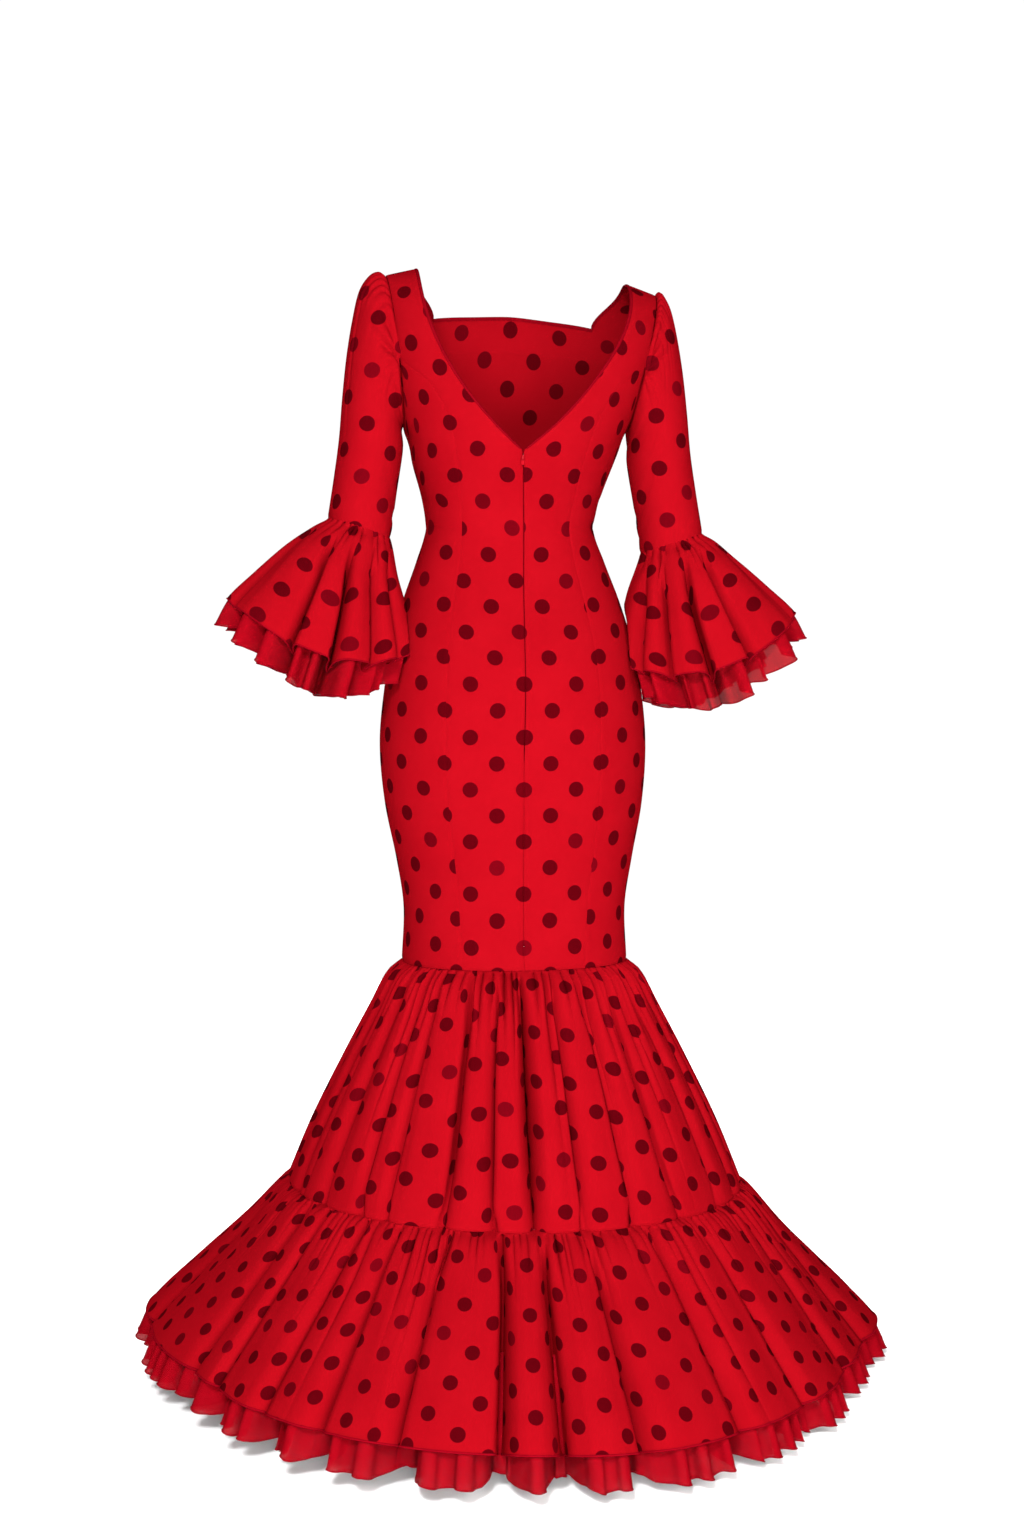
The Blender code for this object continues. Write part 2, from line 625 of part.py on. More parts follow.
def upper_tier_grid():
    columns = fold_columns(UPPER_FOLDS, UPPER_START)
    alongs = (0.0, 0.06, 0.25, 0.6, 1.0)
    return [[swayed(tier_point(UPPER_TIER, a, p, along)) for a, p, _ in columns] for along in alongs]


def lower_tier_point(angle, phase, width, along):
    """The lower tier's outer face: its top edge has the upper tier's folds, and its own grow below."""
    followed = math.asin(min(upper_seam_depth(angle) ** (1 / 3), 1.0)) * 2 / math.pi
    above = tier_point(LOWER_TIER, angle, followed, along)
    below = tier_point(LOWER_TIER, leaned(angle, phase, width, FOLD_LEAN * smooth(along)), phase, along)
    return swayed(above.lerp(below, smooth(along / OWN_FOLDS_BY)))


LOWER_ALONGS = (0.0, 0.06, 0.30, 0.62, 1.0)
HEM_ORGANZA_ALONGS = (0.30, 0.62, 1.0, 1.17)


def lower_tier_grid(alongs):
    columns = fold_columns(LOWER_FOLDS, LOWER_START)
    return [[lower_tier_point(*column, along) for column in columns] for along in alongs]


def pleat(phase):
    """The organza's own pleats: two to each fold of the cloth above it."""
    return 0.5 - 0.5 * math.cos(2.5 * math.pi * (phase + 1))


def under_flounce(grid, columns, outwards, pleat_depth):
    """Rows of Points of an organza flounce: sewn to the inside of the grid's second row, pleated at its hem."""
    turned = normals(grid[:-1], True) + normals(grid, True)[-1:]
    rows = []
    for r in range(1, len(grid)):
        free = (r - 1) / (len(grid) - 2)
        row = []
        for (_, phase, _), p, n in zip(columns, grid[r], turned[r]):
            behind = CLOTH + SEAM_GAP + free * (ORGANZA_HANG + pleat_depth * (1 - pleat(phase)))
            row.append(Point(p - n * outwards * behind, p - n * outwards * (behind + ORGANZA)))
        rows.append(row)
    return rows


def add_widths(name, rows, finish, count, steps):
    """Splits a closed ring of cloth into joined widths, each between two fold valleys."""
    wide = len(rows[0])
    folds = wide // steps
    cuts = [round(folds * i / count) * steps for i in range(count + 1)]
    for i, (first, last) in enumerate(zip(cuts, cuts[1:])):
        part = []
        for row in rows:
            line = [row[c % wide] for c in range(first, last + 1)]
            line[0] = shifted_towards(line[0], line[1])
            line[-1] = shifted_towards(line[-1], line[-2])
            part.append(line)
        add_wall(f"{name}_{i + 1}", [part], finish)


def shifted_towards(point, other):
    """Half a seam gap towards the next column."""
    way = (other.outer - point.outer).normalized() * HALF_GAP
    return Point(point.outer + way, point.inner + way)


# ---------------------------------------------------------------- sleeves


def ring_point(ring, angle, side):
    """A point of a sleeve's ring. angle 0 is its outer side, 90 degrees its back, 180 degrees its inner side."""
    share = (1 + math.cos(angle)) / 2
    return Vector(
        (
            side * mix(ring.inner_x, ring.outer_x, share),
            ring.middle_y + ring.half_depth * math.sin(angle),
            mix(ring.inner_z, ring.outer_z, share) - ring.sag * math.sin(angle) ** 2,
        )
    )


def armhole_ring(angle, side):
    """The armhole as a ring of the sleeve, one seam gap outside the body's edge."""
    up = math.cos(angle)
    x = mix(UNDERARM_X, TIP_X, (up + 1) / 2) + SEAM_GAP
    z = mix(UNDERARM_Z, 0.0, (up + 1) / 2)
    return posed(Vector((side * x, ARMHOLE_DEPTH * math.sin(angle), z)))


def sleeve_pose(point, side):
    """Moves a point of a sleeve to how the wearer's arms hang."""
    return point + Vector((SLEEVE_LEAN, 0, side * SLEEVE_TILT))


def sleeve_grid(side):
    angles = [2 * math.pi * (c + 0.5) / SLEEVE_COLUMNS for c in range(SLEEVE_COLUMNS)]
    grid = [[armhole_ring(a, side) for a in angles]]
    for i, ring in enumerate(SLEEVE):
        hang = smooth((i + 1) / SLEEVE_HANG_RINGS)
        line = []
        for a in angles:
            hanging = sleeve_pose(ring_point(ring, a, side), side)
            seated = ring_point(ring, a, side)
            lifted = posed(seated) - Vector((read(BODY, "z", "shift", seated.z), 0, 0))
            line.append(lifted.lerp(hanging, hang))
        grid.append(line)
    return grid


def flounce_ring(along):
    return Ring(*(read(SLEEVE_FLOUNCE, "along", column, along) for column in Ring._fields))


def clear_of_hip(point, clearance):
    """Pushes a point straight away from the body's middle until it is clear of the hip."""
    z = min(max(point.z, KNEE_Z), UNDERARM_Z)
    shift = read(BODY, "z", "shift", z)
    x, y = point.x - shift, point.y
    width, depth = half_width_at(z, y > 0) + clearance, depth_at(z, y > 0) + clearance
    reach = (abs(x / width) ** ROUNDNESS + abs(y / depth) ** ROUNDNESS) ** (1 / ROUNDNESS)
    grow = max(1.0 / reach, 1.0)
    return Vector((shift + x * grow, y * grow, point.z))


def sleeve_flounce_point(angle, phase, width, along, side):
    """A point of a sleeve flounce's outer face: folded round its ring, swung, and clear of the hip."""
    ring = flounce_ring(along)
    p = ring_point(ring, leaned(angle, phase, width, FOLD_LEAN * smooth(along)), side)
    middle = Vector((side * (ring.inner_x + ring.outer_x) / 2, ring.middle_y, p.z))
    free = sleeve_pose(p, side)
    pushed = (clear_of_hip(free, HIP_CLEARANCE) - free).length
    grown = min(along / FOLDS_GROWN_AT, 1.0)
    depth = SLEEVE_FOLD_DEPTH * smooth(grown) * grown * (1 - smooth(pushed / FLATTENED_BY))
    p += (middle - p).normalized() * valley(phase) * depth
    p.x += FLOUNCE_SWING * smooth(along / SWING_GROWN_AT)
    return clear_of_hip(sleeve_pose(p, side), HIP_CLEARANCE)


SLEEVE_ALONGS = (0.0, 0.12, 0.40, 0.70, 1.0)
SLEEVE_ORGANZA_ALONGS = (0.40, 0.70, 1.0, 1.27)


def sleeve_flounce_grid(side, alongs):
    columns = fold_columns(SLEEVE_FOLDS, SLEEVE_START)
    grid = []
    for along in alongs:
        drop = Vector((0, 0, -SEAM_GAP)) if along == 0.0 else Vector((0, 0, 0))
        grid.append([sleeve_flounce_point(*column, along, side) + drop for column in columns])
    return grid, columns


# ---------------------------------------------------------------- neckline binding and zip


def neckline_pairs(left, front, right):
    """(edge, place one binding width into the cloth) along the neckline, left V over the front to right V."""
    body, left_strap, right_strap = front
    from_v = BACK_ROWS.index(BACK_V_Z)
    middle = len(body[0]) // 2
    pairs = [(row[0], row[1]) for row in left[from_v:]]
    pairs += [(row[0], row[1]) for row in left_strap[-2:0:-1]]
    pairs += [(body[-1][middle + CORNER], body[-2][middle + CORNER + 1])]
    pairs += [(body[-1][middle + c], body[-2][middle + c]) for c in range(CORNER - 1, -CORNER, -1)]
    pairs += [(body[-1][middle - CORNER], body[-2][middle - CORNER - 1])]
    pairs += [(row[0], row[1]) for row in right_strap[1:-1]]
    pairs += [(row[0], row[1]) for row in right[:from_v - 1:-1]]
    return pairs


def binding_section(edge, inside):
    """A folded strip round the cloth's edge, as one closed outline."""
    facing, facing_inside = ((p.outer - p.inner).normalized() for p in (edge, inside))
    into = (inside.outer - edge.outer).normalized()
    near, far = BINDING_GAP, BINDING_GAP + BINDING
    return [
        inside.outer + facing_inside * far,
        edge.outer + facing * far - into * far,
        edge.inner - facing * far - into * far,
        inside.inner - facing_inside * far,
        inside.inner - facing_inside * near,
        edge.inner - facing * near - into * near,
        edge.outer + facing * near - into * near,
        inside.outer + facing_inside * near,
    ]


def add_loft(name, sections, finish):
    """A solid through closed sections, with both ends capped."""
    bm = bmesh.new()
    loops = [[bm.verts.new(p) for p in section] for section in sections]
    count = len(loops[0])
    for low, high in zip(loops, loops[1:]):
        for i in range(count):
            bm.faces.new((low[i], low[(i + 1) % count], high[(i + 1) % count], high[i]))
    bm.faces.new(loops[0])
    bm.faces.new(loops[-1])
    bmesh.ops.recalc_face_normals(bm, faces=bm.faces[:])
    mesh = bpy.data.meshes.new(name)
    bm.to_mesh(mesh)
    bm.free()
    return add_object(name, mesh, finish)


def behind(point, near):
    """A Point of the zip's tape, near metres behind the inner face of the cloth at a point."""
    facing = (point.outer - point.inner).normalized()
    return Point(point.inner - facing * near, point.inner - facing * (near + TAPE))


def zip_tape(panel):
    """One side's tape, behind the centre-back edge from the neckline to the hip."""
    first, last = BACK_ROWS.index(ZIP_END_Z), BACK_ROWS.index(ZIP_TOP_Z)
    rows = []
    for row in panel[first : last + 1]:
        edge, bound, beyond = row[:3]
        share = (TAPE_WIDTH - BINDING_WIDTH) / (beyond.outer - bound.outer).length
        outer_edge = Point(bound.outer.lerp(beyond.outer, share), bound.inner.lerp(beyond.inner, share))
        rows.append([behind(p, SEAM_GAP) for p in (edge, bound, outer_edge)])
    return rows


def box(size, centre):
    bm = bmesh.new()
    bmesh.ops.create_cube(bm, size=1)
    for vert in bm.verts:
        vert.co = Vector(centre) + Vector(v * s for v, s in zip(vert.co, size))
    mesh = bpy.data.meshes.new("box")
    bm.to_mesh(mesh)
    bm.free()
    return bpy.data.objects.new("box", mesh)


def joined(first, *others):
    """One mesh from a solid and, in turn, solids joined to it or cut from it."""
    bpy.context.scene.collection.objects.link(first)
    for kind, other in others:
        bpy.context.scene.collection.objects.link(other)
        step = first.modifiers.new(kind, "BOOLEAN")
        step.operation = kind
        step.object = other
    mesh = bpy.data.meshes.new_from_object(first.evaluated_get(bpy.context.evaluated_depsgraph_get()))
    for used in (first, *(other for _, other in others)):
        bpy.data.objects.remove(used)
    return mesh


def add_slider(hinge, out, up):
    """The slider's body behind the tapes, with a bridge and bail through the seam, drawn from the hinge."""
    back = -HINGE_RISE - CLOTH - SEAM_GAP - TAPE - SEAM_GAP
    reach = BAIL_RISE - HINGE_RISE
    body = box((SLIDER_WIDTH, SLIDER_THICKNESS, SLIDER_LENGTH), (0, back - SLIDER_THICKNESS / 2, 0))
    root = back - SLIDER_THICKNESS / 2
    bridge = box((BRIDGE_WIDTH, reach - root, 2 * BAIL_HALF_LENGTH), (0, (reach + root) / 2, 0))
    low, high = -2 * CROSSBAR_RADIUS, reach - BAIL_WIRE
    eye = box((2 * BRIDGE_WIDTH, high - low, 2 * (BAIL_HALF_LENGTH - BAIL_WIRE)), (0, (high + low) / 2, 0))
    mesh = joined(body, ("UNION", bridge), ("DIFFERENCE", eye))
    across = out.cross(up)
    mesh.transform(Matrix.Translation(hinge) @ Matrix((across, out, up)).transposed().to_4x4())
    add_object("zip_slider", mesh, "zip_metal")


def add_pull_tab(hinge):
    """The teardrop tab: a plate hanging from its crossbar, with a slot that leaves room for the bail."""
    bm = bmesh.new()
    half = TAB_WIDTH / 2
    right = [(half * w, CROSSBAR_RADIUS - TAB_LENGTH * d) for w, d in TAB_OUTLINE]
    outline = right + [(-x, z) for x, z in reversed(right)]
    slot_half = BRIDGE_WIDTH / 2 + SEAM_GAP
    slot = box((2 * slot_half, 2 * TAB_THICKNESS, TAB_SLOT - CROSSBAR_RADIUS), (0, 0, -(TAB_SLOT + CROSSBAR_RADIUS) / 2))
    face = bm.faces.new([bm.verts.new((x, -TAB_THICKNESS / 2, z)) for x, z in outline])
    grown = bmesh.ops.extrude_face_region(bm, geom=[face], use_keep_orig=True)
    for vert in grown["geom"]:
        if isinstance(vert, bmesh.types.BMVert):
            vert.co.y = TAB_THICKNESS / 2
    bmesh.ops.recalc_face_normals(bm, faces=bm.faces[:])
    mesh = bpy.data.meshes.new("plate")
    bm.to_mesh(mesh)
    bm.free()
    plate = bpy.data.objects.new("plate", mesh)
    tab = add_object("zip_pull_tab", joined(plate, ("DIFFERENCE", slot)), "zip_metal")
    tab.data.transform(Matrix.Translation(HELD_AT))
    tab.location = hinge - HELD_AT


def add_zip(left, right):
    """The slider a little below the neckline, with its tab hanging from it."""
    top = BACK_ROWS.index(BACK_V_Z)
    high, low = ((left[row][0].outer + right[row][0].outer) / 2 for row in (top, top - 2))
    up = (high - low).normalized()
    across = Vector((1, 0, 0))
    out = up.cross(across).normalized()
    hinge = high - up * SLIDER_DROP + out * HINGE_RISE
    add_slider(hinge, out, up)
    add_pull_tab(hinge)


def main():
    panels = {}
    for side, word in ((1, "left"), (-1, "right")):
        panel = back_centre(side)
        panels[word] = panel
        add_wall(f"back_centre_{word}", [panel], "dress_cloth")
        add_wall(f"back_side_{word}", [side_panel(side, True)], "dress_cloth")
        add_wall(f"front_side_{word}", [side_panel(side, False)], "dress_cloth")
        add_wall(f"zip_tape_{word}", [zip_tape(panel)], "zip_tape")
    add_zip(panels["left"], panels["right"])
    front = front_centre()
    add_wall("front_centre", front, "dress_cloth")
    pairs = neckline_pairs(panels["left"], front, panels["right"])
    add_loft("neck_binding", [binding_section(*pair) for pair in pairs], "binding")

    level = Vector((0, 0, 1))
    upper = thicken(upper_tier_grid(), True, CLOTH, -1, {0: level, -1: level})
    add_widths("skirt_upper_tier", upper, "dress_cloth", 4, len(FOLD_STEPS))
    lower = thicken(lower_tier_grid(LOWER_ALONGS), True, CLOTH, -1, {0: level})
    add_widths("skirt_lower_tier", lower, "dress_cloth", 6, len(FOLD_STEPS))
    organza = under_flounce(
        lower_tier_grid(HEM_ORGANZA_ALONGS), fold_columns(LOWER_FOLDS, LOWER_START), -1, HEM_PLEAT
    )
    add_widths("hem_organza", organza, "organza", 6, len(FOLD_STEPS))

    for side, word in ((1, "left"), (-1, "right")):
        armhole = Vector((-side * UNDERARM_Z, 0, -(TIP_X - UNDERARM_X))).normalized()
        cuff = SLEEVE[-1]
        across = Vector((side * (cuff.inner_z - cuff.outer_z), 0, cuff.outer_x - cuff.inner_x)).normalized()
        sleeve = thicken(sleeve_grid(side), True, CLOTH, -side, {0: armhole, -1: across})
        add_wall(f"sleeve_{word}", [sleeve], "dress_cloth", True)
        grid, _ = sleeve_flounce_grid(side, SLEEVE_ALONGS)
        flounce = thicken(grid, True, CLOTH, -side, {0: across})
        add_wall(f"sleeve_flounce_{word}", [flounce], "dress_cloth", True)
        grid, columns = sleeve_flounce_grid(side, SLEEVE_ORGANZA_ALONGS)
        add_wall(f"sleeve_organza_{word}", [under_flounce(grid, columns, -side, SLEEVE_PLEAT)], "organza", True)


for old in list(bpy.data.objects):
    bpy.data.objects.remove(old)
DRESS = bpy.data.collections.new("flamenco_dress")
bpy.context.scene.collection.children.link(DRESS)
main()
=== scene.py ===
"""The looks of a worn flamenco dress: dotted cloth panels, gathered tiers, bell flounces and organza.

Metres, +Z up, the front facing -Y, the origin midway between the shoulder seams. The dress is first drawn
straight, with its neckline's shoulder points level, then set in the wearer's stance. Grids of points have
their columns round the dress; a side is 1 for the wearer's left and -1 for the right.
"""

import json
import math
from collections import namedtuple

import bpy
import numpy as np
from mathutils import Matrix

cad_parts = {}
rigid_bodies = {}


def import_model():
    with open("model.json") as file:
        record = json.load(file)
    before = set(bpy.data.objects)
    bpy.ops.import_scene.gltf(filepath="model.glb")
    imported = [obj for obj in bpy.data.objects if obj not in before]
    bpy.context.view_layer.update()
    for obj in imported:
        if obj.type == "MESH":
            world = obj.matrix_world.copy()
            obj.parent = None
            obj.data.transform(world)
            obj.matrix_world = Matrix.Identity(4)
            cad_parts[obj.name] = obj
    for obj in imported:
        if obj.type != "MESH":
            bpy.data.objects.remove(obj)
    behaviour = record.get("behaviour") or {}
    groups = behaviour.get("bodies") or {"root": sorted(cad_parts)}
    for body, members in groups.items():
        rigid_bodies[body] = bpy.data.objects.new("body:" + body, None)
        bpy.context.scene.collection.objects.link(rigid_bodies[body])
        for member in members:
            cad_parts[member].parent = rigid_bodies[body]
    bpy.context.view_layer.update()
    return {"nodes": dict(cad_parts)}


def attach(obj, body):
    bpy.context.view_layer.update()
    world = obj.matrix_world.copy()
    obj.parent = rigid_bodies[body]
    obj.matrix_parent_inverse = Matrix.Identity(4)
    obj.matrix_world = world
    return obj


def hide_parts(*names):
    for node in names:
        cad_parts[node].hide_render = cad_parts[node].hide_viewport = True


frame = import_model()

ROUND = 2 * np.pi
SIDES = ((1, "left"), (-1, "right"))


def table(columns, *rows):
    """Rows of values under named columns."""
    row = namedtuple("Row", columns)
    return [row(*values) for values in rows]


# ---------------- sizes

CLOTH = 0.0012
ORGANZA = 0.0004
KNEE_Z = -0.907
UNDERARM_Z = -0.205
SHOULDER_ROUND_Z = -0.100  # above this the body rounds over to the shoulder seams
ROUNDNESS = 2.25  # of the body's oval: 2 is an ellipse, more is squarer
NECK_POINT_X = 0.138
TIP_X = 0.178
UNDERARM_X = 0.148
ARMHOLE_DEPTH = 0.055
SHOULDER_SLOPE = 0.27
SHOULDER_DROP = 0.006
SHOULDER_LEAN = -0.009
SHOULDER_TILT = 0.052
LEAN_FROM_Z = -0.300
BACK_V_Z = -0.2426
BACK_V_CURVE = 2.15
FRONT_NECK_Z = -0.056
FRONT_NECK_DIP = 0.006
FRONT_NECK_X = 0.108
FRONT_NECK_ROUND, FRONT_NECK_FADE = 0.025, 0.06  # how softly the shoulders' slopes meet over the front neck
SEAM_TOP_Z = -0.120  # the princess seams end here, at the armhole
HELD_AT = np.array((SHOULDER_LEAN, 0, SHOULDER_SLOPE * (NECK_POINT_X - TIP_X) / 2 - SHOULDER_DROP))

SEAM_DIP = 0.0010  # cloth rolls inwards at a seam by this much
SEAM_SOFT = 0.0021  # over this width
SEAM_OPEN = 0.00002
SLIT = (0.00055, 0.00018)  # how far each centre-back edge stands from the seam, over the zip and below it
SLIT_FADE = (0.03, 0.004, 0.01)  # where it narrows at the zip's end, stays shut under the V, and opens
PRESSED = 0.30  # a princess seam, pressed flat, rolls in by this share of the others
ZIP_OPEN, ZIP_OPEN_LENGTH, ZIP_CLOSE_LENGTH = 0.0010, 0.016, 0.012
ZIP_TOP_Z, ZIP_END_Z = BACK_V_Z - 0.002, -0.617
TAPE_WIDTH, TAPE, TAPE_GAP = 0.011, 0.0007, 0.0005
TOOTH_STEP, TOOTH = 0.0021, (0.0019, 0.0010, 0.0012)
TOOTH_PAST, TOOTH_INWARDS = 0.0003, 0.0001  # how far a tooth is set past its tape's edge, and inwards of it
BINDING, BINDING_STRIP = 0.0006, 0.0108  # the strip's thickness, and its width before folding

DOT, DOT_SOFT = 0.0100, 0.00035  # radius, and how far its edge blurs either way
DOT_STEP = 0.0680  # the lattice's spacing, with one more dot in the middle of each square
DOT_ROW = 0.030  # the lowest row of dots above the knee seam
SIDE_LAY = 0.012  # how far the side panels' dots are moved towards the princess seam
SWING_FROM_Z = -0.235  # above this a princess seam leaves the straight grain
RUN_ON_UP, RUN_ON_BLEND = 0.60, 0.05  # from here up the dots run on over the back's princess seams

BODY = table(
    "z half_width back front shift back_seam front_seam",
    (-0.907, 0.1500, 0.120, 0.112, 0.000, 0.080, 0.078),
    (-0.835, 0.1475, 0.117, 0.110, 0.000, 0.083, 0.080),
    (-0.771, 0.1570, 0.122, 0.112, 0.000, 0.089, 0.084),
    (-0.697, 0.1710, 0.132, 0.114, 0.001, 0.097, 0.088),
    (-0.617, 0.1765, 0.139, 0.115, 0.002, 0.100, 0.090),
    (-0.537, 0.1690, 0.134, 0.116, 0.002, 0.098, 0.088),
    (-0.484, 0.1590, 0.121, 0.114, 0.003, 0.093, 0.084),
    (-0.431, 0.1435, 0.103, 0.109, 0.004, 0.084, 0.077),
    (-0.378, 0.1240, 0.088, 0.102, 0.005, 0.074, 0.069),
    (-0.338, 0.1115, 0.083, 0.100, 0.006, 0.070, 0.066),
    (-0.298, 0.1175, 0.090, 0.117, 0.004, 0.074, 0.074),
    (-0.250, 0.1330, 0.102, 0.137, 0.002, 0.083, 0.088),
    (-0.205, 0.1480, 0.109, 0.133, 0.000, 0.095, 0.096),
    (-0.160, 0.1640, 0.113, 0.122, 0.000, 0.120, 0.116),
    (-0.120, 0.1760, 0.114, 0.112, 0.000, 0.1604, 0.1604),
    (-0.100, 0.1800, 0.113, 0.107, 0.000, 0.1604, 0.1604),
)

RING = "inner_x inner_z outer_x outer_z half_depth middle_y sag"
SLEEVE = table(
    RING,
    (0.1492, -0.2085, 0.1860, 0.0020, 0.0590, 0.000, 0.0),
    (0.1500, -0.2135, 0.1950, -0.0120, 0.0600, 0.000, 0.0),
    (0.1503, -0.2170, 0.2060, -0.0370, 0.0595, 0.001, 0.0),
    (0.1505, -0.2215, 0.2145, -0.0720, 0.0580, 0.001, 0.0),
    (0.1495, -0.2280, 0.2225, -0.1200, 0.0555, 0.002, 0.0),
    (0.1490, -0.2380, 0.2285, -0.1750, 0.0525, 0.004, 0.0),
    (0.1510, -0.2560, 0.2330, -0.2280, 0.0500, 0.006, 0.0),
    (0.1585, -0.3030, 0.2400, -0.2790, 0.0480, 0.009, 0.0),
    (0.1660, -0.3600, 0.2487, -0.3340, 0.0460, 0.012, 0.0),
)
SLEEVE_FLOUNCE = table(
    "along " + RING,
    (0.00, 0.1660, -0.3600, 0.2487, -0.3340, 0.0460, 0.012, 0.000),
    (0.12, 0.1610, -0.3780, 0.2670, -0.3440, 0.0570, 0.016, 0.002),
    (0.40, 0.1500, -0.4180, 0.3020, -0.3710, 0.0740, 0.024, 0.010),
    (0.70, 0.1380, -0.4640, 0.3390, -0.4040, 0.0880, 0.032, 0.024),
    (1.00, 0.1290, -0.5060, 0.3740, -0.4380, 0.0990, 0.040, 0.038),
    (1.27, 0.1380, -0.5440, 0.3940, -0.4730, 0.1030, 0.042, 0.050),
)
SLEEVE_LEAN = -0.002
SLEEVE_TILT = 0.008
SLEEVE_LINE = math.radians(5.4)  # the sleeve's own line, out from straight down
SLEEVE_OVAL = 1.15  # a sleeve's depth over its width
SLEEVE_OFF = 0.0003  # how far a sleeve's top sits out from the armhole
FLOUNCE_SWING = 0.005
SLEEVE_FOLD_DEPTH = 0.040
SLEEVE_LAP = 0.9  # how far the laps of a sleeve flounce's folds run, over a skirt's
HIP_CLEARANCE = 0.0045
ORGANZA_CLEARANCE = HIP_CLEARANCE + 0.003
FLATTENED_BY = 0.020
CUFF_TUCK = (0.022, 0.0016)  # how far a flounce's top goes into the cuff, as a share inwards and a length up

TIER = "along z half_width back front roundness fold_depth"
UPPER_TIER = table(
    TIER,
    (0.00, -0.9073, 0.1500, 0.120, 0.112, 2.25, 0.000),
    (0.06, -0.9230, 0.1690, 0.141, 0.132, 2.20, 0.005),
    (0.20, -0.9650, 0.1920, 0.166, 0.158, 2.10, 0.012),
    (0.45, -1.0350, 0.2290, 0.206, 0.198, 2.05, 0.018),
    (0.75, -1.1220, 0.2720, 0.253, 0.243, 2.00, 0.020),
    (1.00, -1.2020, 0.3050, 0.290, 0.277, 2.00, 0.008),
)
LOWER_TIER = table(
    TIER,
    (0.00, -1.2023, 0.3050, 0.290, 0.277, 2.00, 0.008),
    (0.06, -1.2110, 0.3180, 0.309, 0.296, 2.00, 0.013),
    (0.30, -1.2600, 0.3610, 0.368, 0.350, 2.00, 0.023),
    (0.62, -1.3220, 0.4210, 0.442, 0.413, 2.00, 0.031),
    (1.00, -1.3900, 0.4830, 0.514, 0.476, 2.00, 0.038),
    (1.17, -1.4280, 0.5010, 0.534, 0.498, 2.00, 0.038),
)
# How far the skirt's hem stands out at angles round it, over the plain tier.
HEM_REACH = table(
    "degrees share",
    (-120, 1.00), (-60, 1.00), (-12, 1.015), (12, 0.985), (28, 0.965), (45, 0.995), (65, 1.005), (85, 1.00),
    (102, 1.005), (120, 0.970), (138, 0.940), (158, 0.925), (170, 0.970), (180, 1.00), (240, 1.00),
)
HEM_SWAY = -0.002
HEM_TILT = 0.027
SWAY_DROP = 0.45
UPPER_DROP, LOWER_DROP = 0.335, 0.263  # length of each tier's cloth, from seam to seam or hem
UPPER_FOLD_DEPTH = 1.90  # over the solids' plain folds
LOWER_FOLD_DEPTH = (2.30, 1.50)  # at the seam and at the hem
LOWER_FALL = 0.36  # how much a fold's hem falls for how far it is pulled in
UPPER_LAP = 0.95  # how far the laps of the upper tier's folds run, over the lower tier's
UPPER_GATHERED, LOWER_GATHERED, CUFF_GATHERED = 0.33, 0.27, 0.15  # lengths of cloth the gathers run down in
UPPER_DEEPER, LOWER_DEEPER = 0.6, 0.7  # how much deeper the gathers are by the lower edge
TUCK, TUCK_SOFT = 0.0022, 0.0016  # how far cloth rolls in beside a gathered seam, and over what distance
FAN_FROM_Z, FAN_LENGTH, FAN_OUT = -1.20, 0.20, (0.008, 0.015)
ORGANZA_GAP = 0.0035
HEM_FLUTE, SLEEVE_FLUTE = 0.0115, 0.0150  # depths of the organza's flutes
HEM_FLUTE_TURN, SLEEVE_FLUTE_TURN = math.radians(3.9), math.radians(17.0)  # their mean widths
HEM_SWING, SLEEVE_SWING = 0.46, 0.50  # how far a flute leans over itself, in widths a turn

# Each fold round a gathered edge, from the left side over the back to the right side and round the front.
# lap: above 0 its far edge hangs over the next fold, below 0 the next one hangs over it, 0 is an open valley.
FOLD = "degrees lap depth"
UPPER_START, LOWER_START, SLEEVE_START = -16.0, -18.0, -30.0
UPPER_FOLDS = table(
    FOLD,
    (18, -0.6, 0.9), (14, -0.9, 1.0), (14, -0.5, 0.8), (14.5, -1.0, 1.0), (7, -0.4, 0.6), (13.5, 0.6, 0.9),
    (14, -0.7, 0.8), (9, 0.0, 1.5), (11, 0.5, 0.7), (12.5, 0.8, 0.9), (16.5, -0.5, 0.7), (14, 0.9, 1.0),
    (12, 1.0, 1.0), (11, 0.7, 0.9), (16, 0.5, 0.8),
)
LOWER_FOLDS = table(
    FOLD,
    (21, -0.8, 0.8), (23.5, -1.0, 0.9), (7.5, -0.8, 0.8), (12.5, -1.0, 1.0), (9.5, -0.6, 0.9),
    (12, -0.9, 1.0), (11.5, 0.5, 1.2), (10.5, -0.3, 1.2), (9.5, 0.4, 1.0), (15.5, 0.8, 1.2), (15, 0.9, 1.0),
    (18, 1.0, 0.9), (15, 0.9, 0.8), (20, 0.8, 0.8),
)
SLEEVE_FOLDS = table(
    FOLD,
    (52, -0.8, 1.0), (40, 0.7, 1.0), (28, 0.7, 1.0), (30, 0.4, 0.8), (28, 0.0, 0.6), (68, 0.0, 0.7),
    (42, 0.5, 0.8), (36, -0.6, 0.9), (36, 0.6, 0.9),
)
FRONT_VARIATION = 0.22

